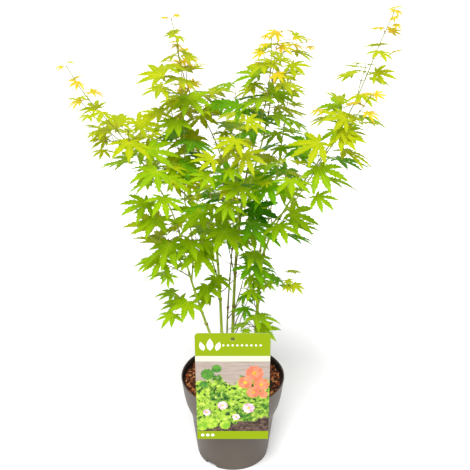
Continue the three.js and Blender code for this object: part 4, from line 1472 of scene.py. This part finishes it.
def fine_twig(mass, name, twig, t, seed, i, k):
    """A fine twig with a pair or a lone leaf at its tip, on the first side that has room for it."""
    sizes = mass["sizes"]
    for turn in range(fine_rule["sides"]):
        keys = (seed + fine_rule["first_key"], i, k, turn)
        side = 360 / fine_rule["sides"] * turn + fine_rule["first_side"] + fine_rule["side_turn"] * k
        size = along(sizes["leaf"], t) * lerp(*fine_rule["size"], chance(*keys, 51))
        droop = along(sizes["droop"], t)
        count = len(placed.guards)
        fine = place_shoot(mass, twig, t, side, keys, fine_rule)
        if not fine:
            continue
        fine["share"] = t
        ways = (0,) if chance(*keys, 52) < fine_rule["lone"] else (90, 270)
        kept = [fine_leaf(mass, name, fine, 1, way, size, droop, (*keys, way)) for way in ways]
        if any(kept):
            return
        mass["twigs"].pop()
        placed.drop(len(placed.guards) - count)


def grow_fine(mass, name, seed):
    """Fine twigs between the pairs of leaves, more of them higher up."""
    for i, twig in enumerate(list(mass["twigs"])):
        for k in range(fine_rule["places"]):
            t = (k + fine_rule["start"] + spread(fine_rule["jitter"], seed, i, k, 50)) / fine_rule["places"]
            height = point_at(twig["points"], t)[2]
            high = min(max((height - fine_rule["lush_from"]) / fine_rule["lush_over"], 0), 1)
            if chance(seed, i, k, 53) <= lerp(*fine_rule["lush"], high):
                fine_twig(mass, name, twig, t, seed, i, k)


for seed, (name, mass) in enumerate(grown.items(), 1):
    mass["sprays"] = len(mass["twigs"])
    grow_fine(mass, name, seed)


twig_look = dict(
    leader=(2.5, 1.3), shoot=(1.7, 1.0), fine=(1.2, 0.8), step=4.0, sides=7, swell=0.35,
    old=0.7, fresher=0.5, old_below=300, fresh_over=400, shade=0.12,
)


def twig_line(mass, k, twig):
    """A shoot's smooth line, from inside what bears it to its own thin tip."""
    kind = "leader" if k == 0 else "shoot" if k < mass["sprays"] else "fine"
    points, shares, length = smoothed(twig["points"], twig_look["step"])
    pairs = mass["sizes"]["pairs"] if k == 0 else shoot_rule["pairs"]
    joint = np.zeros(len(shares))
    for pair in range(pairs):
        at = ((pair + 1) / pairs) ** pair_rule["crowding"]
        joint = np.maximum(joint, np.exp(-((shares - at) * length / joint_rule["length"]) ** 2))
    high = np.clip((points[:, 2] - twig_look["old_below"]) / twig_look["fresh_over"], 0, 1)
    shade = spread(twig_look["shade"], k, len(mass["twigs"]), 61)
    age = np.clip(twig_look["old"] - twig_look["fresher"] * high + shade, 0, 1)
    thickness = lerp(*twig_look[kind], shares) / 2 * (1 + twig_look["swell"] * joint) * MM
    return dict(points=points, thickness=thickness, joint=joint, age=age)


twig_rows = [twig_line(mass, k, twig) for mass in grown.values() for k, twig in enumerate(mass["twigs"])]
twig_wood = young_wood(
    "twig_wood", (paint(134, 146, 36), paint(158, 166, 64)), (paint(86, 80, 32), paint(104, 66, 38)),
)
twigs = grown_on(
    "twigs", lines_of("twig_lines", twig_rows), tube_maker, sides=twig_look["sides"], finish=twig_wood,
)
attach(twigs, "root")
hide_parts(*masses)


# BARE TWIGS
# Thin dry side twigs between the lower stems, brown and kinked, that lost their leaves. Each
# stands where its stem has room for it.
bare_rule = dict(
    step=12, kink=1.7, ends=(1.9, 1.0), age=0.9, turns=(0, 20, -20, 40, -40, 60, -60, 80, -80),
    joint=0.4, swell=0.3,
)
bare_places = (
    dict(on="stem_centre", at=0.2, azimuth=12, rise=(76, 70), length=128),
    dict(on="stem_centre", at=0.3, azimuth=-25, rise=(68, 78), length=96),
    dict(on="stem_right", at=0.93, azimuth=172, rise=(8, 16), length=64),
    dict(on="stem_right", at=0.56, azimuth=150, rise=(50, 36), length=66),
    dict(on="stem_mid_left", at=0.66, azimuth=10, rise=(38, 56), length=58),
    dict(on="stem_mid_left", at=0.9, azimuth=-150, rise=(20, 44), length=62),
    dict(on="stem_thin", at=0.42, azimuth=-30, rise=(58, 66), length=70),
    dict(on="stem_left", at=0.7, azimuth=-20, rise=(40, 58), length=54),
)


def bare_route(twig):
    """A dry twig's way, turned aside where something stands in it, or None."""
    start = point_at(limbs[twig["on"]]["points"], twig["at"])
    for turn in bare_rule["turns"]:
        azimuth = twig["azimuth"] + turn
        points = route(start, {**twig, "heading": (azimuth, azimuth + turn / 2)}, bare_rule["step"])
        guards = tube_guards(points, lambda t: bare_rule["ends"][0] / 2, "dry")
        if all(placed.free(one, twig["on"]) for one in guards):
            placed.add(*guards)
            return points
    return None


def bare_line(seed, points):
    """A dry twig's line, kinked a little at each of its old joints but not at its foot."""
    places = range(len(points))
    kinks = [[spread(bare_rule["kink"], seed, k, axis, 90) for axis in range(3)] for k in places]
    kinks[0] = [0, 0, 0]
    joint = np.array([bare_rule["joint"] * chance(seed, k, 91) for k in places])
    radius = lerp(*bare_rule["ends"], np.linspace(0, 1, len(points))) / 2
    thickness = radius * (1 + bare_rule["swell"] * joint) * MM
    age = np.full(len(points), bare_rule["age"])
    return dict(points=points + np.array(kinks), thickness=thickness, joint=joint, age=age)


dry_wood = young_wood(
    "dry_wood", (paint(112, 100, 50), paint(134, 118, 72)), (paint(82, 62, 40), paint(104, 78, 52)),
)
bare_routes = [points for points in map(bare_route, bare_places) if points is not None]
bare_rows = [bare_line(seed, points) for seed, points in enumerate(bare_routes)]
bare_twigs = grown_on(
    "bare_twigs", lines_of("bare_lines", bare_rows), tube_maker, sides=twig_look["sides"], finish=dry_wood,
)
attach(bare_twigs, "root")


# LEAF STALKS
# Each leaf hangs on a thin stalk that arches out from its twig and comes to the leaf from
# behind, reddish where the sun reaches it.
blade_rule = dict(level=0.4, tip=12)
stalk_look = dict(across=(1.05, 0.85), steps=5, sides=5, arrive=0.32, arch=0.06)


def own_key(leaf):
    """A leaf's own whole number, from its size in hundredths of a millimetre."""
    return int(leaf["size"] * 100)


def blade_axes(leaf):
    """A blade's axes once it has opened: nearly level, each tipped a little its own way."""
    tip = spread(blade_rule["tip"], own_key(leaf), 88)
    return leaf_axes({**leaf, "droop": leaf["droop"] * blade_rule["level"] + tip})


def stalk_line(leaf):
    """A stalk's line, which ends in the way that its blade lies, and how red it has ripened."""
    ahead = blade_axes(leaf)[0]
    start, end = leaf["start"], leaf["base"]
    length = np.linalg.norm(end - start)
    bend = end - ahead * length * stalk_look["arrive"] + UP * length * stalk_look["arch"]
    shares = np.linspace(0, 1, stalk_look["steps"] + 1)[:, None]
    points = start * (1 - shares) ** 2 + 2 * bend * shares * (1 - shares) + end * shares ** 2
    thickness = lerp(*stalk_look["across"], shares[:, 0]) / 2 * MM
    ripe = np.full(len(shares), chance(own_key(leaf), 62))
    return dict(points=points, thickness=thickness, ripe=ripe)


def stalk_skin():
    """Stalks from green to orange, in patches."""
    finish = Finish("leaf_stalk", 0.45)
    ripe = finish.own("ripe")
    clouds = finish.noise(finish.place(), 60, 3)
    share = (ripe * 0.7 + clouds * 0.6).over(0.45, 0.95)
    finish.set("Base Color", finish.mix(share, paint(132, 168, 50), paint(168, 104, 56)))
    finish.relief(finish.noise(finish.place(), 900, 2), 0.0001)
    return finish.material


stalk_rows = [stalk_line(leaf) for mass in grown.values() for leaf in mass["leaves"]]
stalks = grown_on(
    "leaf_stalks", lines_of("stalk_lines", stalk_rows), tube_maker,
    sides=stalk_look["sides"], finish=stalk_skin(),
)
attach(stalks, "root")


# LEAVES
# Thin leaves cut into seven pointed lobes with saw-toothed edges, each folded a little along
# its ribs and drooping to its tips. They are green low down, and lime, yellow and orange on the
# young sprays at the top. Their tints also paint shade on the leaves inside the crown and light
# on the outer leaves of the upper crown.
lobe_rule = dict(
    teeth=(5, 5, 4, 2), reach=(1, 0.95, 0.76, 0.42), drawn=1.3, close=3, bare_tip=1.1,
    saw=0.24, tooth=0.018, tooth_out=0.8, tooth_before=0.1, gap_past=0.004, gap_rib=0.25, gap_lift=0.7,
    notch_rib=0.3, notch_lift=0.04,
)
broad_form = dict(
    wide=(0.075, 0.072, 0.06, 0.034), cuts=(0.38, 0.35, 0.25, 0.06), foot=0.33, taper=1.4, middle=0.85,
)
slender_form = dict(
    wide=(0.122, 0.116, 0.098, 0.06), cuts=(0.22, 0.21, 0.15, 0.05), foot=0.17, taper=2.4, middle=1.0,
)
shape_rule = dict(
    shapes=8, swing=6, reach=0.1, fold=(0.25, 0.5), curl=(0.12, 0.32),
    tip_curl=0.4, tip_from=0.6, strips=9, through=0.2,
    slender_from=400, slender_to=640, slender_low=0.1, slender_high=0.8,
    wider=0.1, wider_from=560, wider_over=140,
)


def lobe_edge(form, start, wide, u):
    """Half the width of a lobe at u, from 0 at its foot to 1 at its drawn-out tip."""
    swell = math.sin(math.pi * u ** form["middle"]) ** lobe_rule["drawn"]
    return start * (1 - u) ** form["taper"] + wide * swell * (1 - u ** lobe_rule["close"])


class Leaf:
    """A leaf's flat pattern, one unit long, as it is cut lobe by lobe."""

    def __init__(self, seed, form):
        self.seed = seed
        self.form = form
        self.places, self.faces = [], []
        self.ribs, self.runs = [], []
        self.cuts = {}
        self.fold = lerp(*shape_rule["fold"], chance(seed, 70))
        self.base = self.point(0, 0, 1, 0)

    def point(self, x, y, rib, run, lift=0.0):
        """Adds a point: rib is 1 on a rib and 0 at the edge, run counts the teeth up a lobe."""
        self.places.append((x, y, lift))
        self.ribs.append(rib)
        self.runs.append(run)
        return len(self.places) - 1

    def lobe(self, k, hand):
        """One lobe: its rib, and on each side a row of teeth that point to its tip."""
        angle = math.radians(hand * LOBES[k][0] + spread(shape_rule["swing"], self.seed, k, hand + 1, 71))
        longer = spread(shape_rule["reach"], self.seed, k, hand + 1, 72) if k else 0
        reach = lobe_rule["reach"][k] * (1 + longer)
        ahead = np.array((math.cos(angle), math.sin(angle)))
        aside = np.array((-ahead[1], ahead[0]))
        teeth = lobe_rule["teeth"][k]
        steps = teeth + lobe_rule["bare_tip"]
        start = reach * self.form["foot"]
        rows = [start + (reach - start) * j / steps for j in range(teeth + 1)]
        rib = [self.point(*(ahead * row), 1, j) for j, row in enumerate(rows)]
        tip = self.point(*(ahead * reach), 1, teeth + 1)
        for side in (1, -1):
            notch = self.notch(k, hand, side)
            foot_width = abs(float(np.array(self.places[notch][:2]) @ aside))
            edge = notch
            for j in range(1, teeth + 1):
                width = lobe_edge(self.form, foot_width, self.form["wide"][k], j / steps)
                tooth, gap = self.tooth(j, rows[j], width, reach, ahead, aside * side)
                self.face(side, rib[j - 1], rib[j], gap, tooth, edge)
                edge = gap
            self.face(side, rib[-1], tip, edge)
            self.face(side, self.base, rib[0], notch)

    def tooth(self, j, row, width, reach, ahead, aside):
        """One tooth on a lobe's edge, and the gap after it."""
        saw = lobe_rule["tooth"] * reach
        point = ahead * (row + saw) + aside * (width + saw * lobe_rule["tooth_out"])
        inner = ahead * (row + lobe_rule["gap_past"]) + aside * width * (1 - lobe_rule["saw"])
        tooth = self.point(*point, 0, j - lobe_rule["tooth_before"], self.fold * (width + saw))
        gap = self.point(*inner, lobe_rule["gap_rib"], j, self.fold * width * lobe_rule["gap_lift"])
        return tooth, gap

    def notch(self, k, hand, side):
        """The bottom of the cut beside a lobe, which two lobes share."""
        outer = k if side == hand or k == 0 else k - 1
        turn = hand if k else side
        key = (outer, turn)
        if key not in self.cuts:
            angle = math.radians(turn * NOTCHES[outer][0])
            reach = self.form["cuts"][outer]
            x, y = reach * math.cos(angle), reach * math.sin(angle)
            lift = self.fold * lobe_rule["notch_lift"]
            self.cuts[key] = self.point(x, y, lobe_rule["notch_rib"], 0, lift)
        return self.cuts[key]

    def face(self, side, *corners):
        self.faces.append(corners if side > 0 else corners[::-1])


def leaf_mesh(name, seed, form):
    """One leaf shape, curled down all over and more at the tips of its lobes."""
    leaf = Leaf(seed, form)
    curl = lerp(*shape_rule["curl"], chance(seed, 84))
    leaf.lobe(0, 1)
    for k in range(1, len(LOBES)):
        leaf.lobe(k, 1)
        leaf.lobe(k, -1)
    places = []
    for x, y, lift in leaf.places:
        far = math.hypot(x, y)
        strip = int(x * shape_rule["strips"]) + shape_rule["strips"]
        tip = shape_rule["tip_curl"] * max(far - shape_rule["tip_from"], 0) ** 2 * chance(seed, strip, 73)
        places.append((x, y, lift - curl * far ** 2 - tip))
    mesh = mesh_of(name, places, leaf.faces, unit=1)
    mesh.attributes.new("rib", "FLOAT", "POINT").data.foreach_set("value", leaf.ribs)
    mesh.attributes.new("run", "FLOAT", "POINT").data.foreach_set("value", leaf.runs)
    return mesh


def shine_through(finish, colour):
    """Lets some of the light on one side of a thin leaf out of its other side."""
    nodes, links = finish.tree.nodes, finish.tree.links
    glow = nodes.new("ShaderNodeBsdfTranslucent")
    glow.inputs["Color"].default_value = colour
    both = nodes.new("ShaderNodeMixShader")
    both.inputs[0].default_value = shape_rule["through"]
    links.new(finish.shader.outputs[0], both.inputs[1])
    links.new(glow.outputs[0], both.inputs[2])
    links.new(both.outputs[0], nodes["Material Output"].inputs["Surface"])


def leaf_skin(name, face, patch, vein, through):
    """A leaf's two sides: soft blotches, paler veins, and light that shines through."""
    finish = Finish(f"{name}_leaf", 0.5, Specular_IOR_Level=0.12)
    place = finish.place()
    blotches = finish.noise(place, 55, 3)
    rib, run = finish.own("rib"), finish.own("run")
    slope = run + (rib * 0.7)
    lines = slope.maths("FRACT", slope)
    veins = (lines.over(0.9, 1.0) - lines.over(0.0, 0.08)) * 0.24
    middle = rib.over(0.88, 0.98) * 0.8
    colour = finish.mix(blotches.over(0.35, 0.65), paint(*face), paint(*patch))
    colour = finish.mix(middle, colour, paint(*vein))
    colour = finish.mix(veins, colour, paint(*vein))
    finish.set("Base Color", colour)
    finish.set("Roughness", 0.46 + blotches * 0.16)
    finish.relief(rib * 0.6 + blotches * 0.4, 0.0006)
    shine_through(finish, paint(*through))
    return finish.material


# A leaf takes the first tint whose limit is over its tone.
tint_limits = dict(deep=0.32, green=0.48, lime=0.64, yellow=0.97, gold=9)
# Low tones take the dark deep and green tints, high tones lime, yellow and gold, so these tints carry the
# leaves' painted shade and light as well as their own colour.
tints = dict(
    deep=dict(face=(28, 88, 0), patch=(52, 108, 0), vein=(96, 148, 20), through=(74, 150, 0)),
    green=dict(face=(72, 132, 0), patch=(94, 148, 0), vein=(136, 176, 26), through=(122, 186, 0)),
    lime=dict(face=(118, 160, 0), patch=(140, 172, 0), vein=(172, 194, 36), through=(172, 208, 0)),
    yellow=dict(face=(148, 168, 0), patch=(170, 180, 6), vein=(196, 198, 50), through=(208, 214, 0)),
    gold=dict(face=(198, 190, 14), patch=(210, 172, 34), vein=(222, 206, 70), through=(230, 210, 20)),
)
# Heights and tones, outer and deep set how much painted light and shade a leaf's tint carries, besides its
# own colour by age.
tone_rule = dict(
    heights=(300, 400, 500, 600, 700, 800), tones=(0.57, 0.53, 0.42, 0.46, 0.58, 0.78), share=0.12,
    low=300, rise=550, small=0.3, middling=44, ripe_below=32, large_most=0.9,
    outer=0.26, crown=280, deep=0.16, core=90, spray=0.11, own=0.16,
)


def tone_of(seed, k, leaf):
    """How young a leaf is, from 0 to about 1, with painted light and shade for its place in the crown: it
    decides the leaf's tint.
    """
    x, y, z = leaf["base"]
    out = math.hypot(x, y)
    high = (z - tone_rule["low"]) / tone_rule["rise"]
    # Tone by height: raised low down, part painted light under the crown and part the low leaves' own
    # yellower green; lowest around the middle of the crown, where it paints shade; highest at the top, on
    # the young sprays.
    tone = float(np.interp(z, tone_rule["heights"], tone_rule["tones"])) + tone_rule["share"] * leaf["share"]
    # Part painted light and part younger growth: leaves further out in the upper crown get a higher tone,
    # and so a lighter tint.
    tone += tone_rule["outer"] * high * out / tone_rule["crown"]
    # Painted shade: a leaf near the middle line of the crown gets a lower tone, and so a darker tint.
    tone -= tone_rule["deep"] * max(0, 1 - out / tone_rule["core"])
    tone += spread(tone_rule["spray"], seed, 80) + spread(tone_rule["own"], seed, k, 81)
    tone += tone_rule["small"] * high * (1 - leaf["size"] / tone_rule["middling"])
    tone += leaf["young"] * high
    return tone if leaf["size"] < tone_rule["ripe_below"] else min(tone, tone_rule["large_most"])


def slender_share(height):
    """The share of the leaves at a height whose lobes are narrow and cut nearly to the stalk."""
    share = (height - shape_rule["slender_from"]) / (shape_rule["slender_to"] - shape_rule["slender_from"])
    return max(min(share, shape_rule["slender_high"]), shape_rule["slender_low"])


def open_size(height):
    """How much wider the drawn-out leaves of the upper crown spread than the rule's plain ones."""
    share = (height - shape_rule["wider_from"]) / shape_rule["wider_over"]
    return 1 + shape_rule["wider"] * min(max(share, 0), 1)


def leaf_rows():
    """Every leaf under its own tint."""
    rows = {tint: [] for tint in tints}
    for seed, (name, mass) in enumerate(grown.items()):
        for k, leaf in enumerate(mass["leaves"]):
            tone = tone_of(seed, k, leaf)
            tint = next(title for title, limit in tint_limits.items() if tone < limit)
            place = leaf["base"]
            kind = int(chance(seed, k, 83) * shape_rule["shapes"])
            if chance(seed, k, 82) < slender_share(place[2]):
                kind += shape_rule["shapes"]
            size = leaf["size"] * open_size(place[2])
            rows[tint].append(dict(place=place, axes=blade_axes(leaf), kind=kind, size=size, spray=name))
    return rows


leaf_forms = [broad_form] * shape_rule["shapes"] + [slender_form] * shape_rule["shapes"]
leaf_meshes = [leaf_mesh(f"leaf_shape_{seed:02d}", seed, form) for seed, form in enumerate(leaf_forms)]
leaf_shapes = shapes_of("leaf_shape", leaf_meshes)
for tint, rows in leaf_rows().items():
    leaves = grown_on(
        f"leaves_{tint}", points_of(f"leaf_points_{tint}", rows), point_maker,
        shapes=leaf_shapes, finish=leaf_skin(tint, **tints[tint]),
    )
    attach(leaves, "root")
    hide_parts(*sorted({row["spray"] for row in rows}))


# FLOOR, LIGHT AND CAMERA
# A plain pale floor in a white studio, lit evenly from all round and by one soft wide lamp
# from above the front. The camera stands in front of the pot and looks down on it. Its place
# is in metres.
studio = dict(floor=7.0, surround=0.66, lamp=3.5, softness=32, lamp_way=(0.1, 0.5, -1.0))
view = dict(place=(0.004, -1.661, 1.402), down=29.35, lens=85, sensor=36)

pale = Finish("pale_floor", 0.9)
pale.set("Base Color", paint(250, 250, 250))
reach = studio["floor"]
corners = [(-reach, -reach, 0), (reach, -reach, 0), (reach, reach, 0), (-reach, reach, 0)]
floor = piece_of("floor", mesh_of("floor", corners, [(0, 1, 2, 3)], (pale.material,), unit=1))

world = bpy.data.worlds.new("studio")
bpy.context.scene.world = world
world.use_nodes = True
surround = world.node_tree.nodes["Background"].inputs
surround["Color"].default_value = (1, 1, 1, 1)
surround["Strength"].default_value = studio["surround"]


def turn_to(way):
    """Axes of a lamp that shines along way."""
    back = -way / np.linalg.norm(way)
    right = np.cross((0, 0, 1), back)
    right /= np.linalg.norm(right)
    return np.stack([right, np.cross(back, right), back], axis=1).tolist()


light = bpy.data.lights.new("soft_lamp", "SUN")
light.energy = studio["lamp"]
light.angle = math.radians(studio["softness"])
lamp = bpy.data.objects.new("soft_lamp", light)
bpy.context.scene.collection.objects.link(lamp)
lamp.rotation_euler = Matrix(turn_to(np.array(studio["lamp_way"]))).to_euler()

camera_data = bpy.data.cameras.new("camera")
camera_data.lens = view["lens"]
camera_data.sensor_width = view["sensor"]
camera = bpy.data.objects.new("camera", camera_data)
bpy.context.scene.collection.objects.link(camera)
camera.location = view["place"]
camera.rotation_euler = (math.radians(90 - view["down"]), 0, 0)
bpy.context.scene.camera = camera
bpy.context.scene.view_settings.view_transform = "Standard"
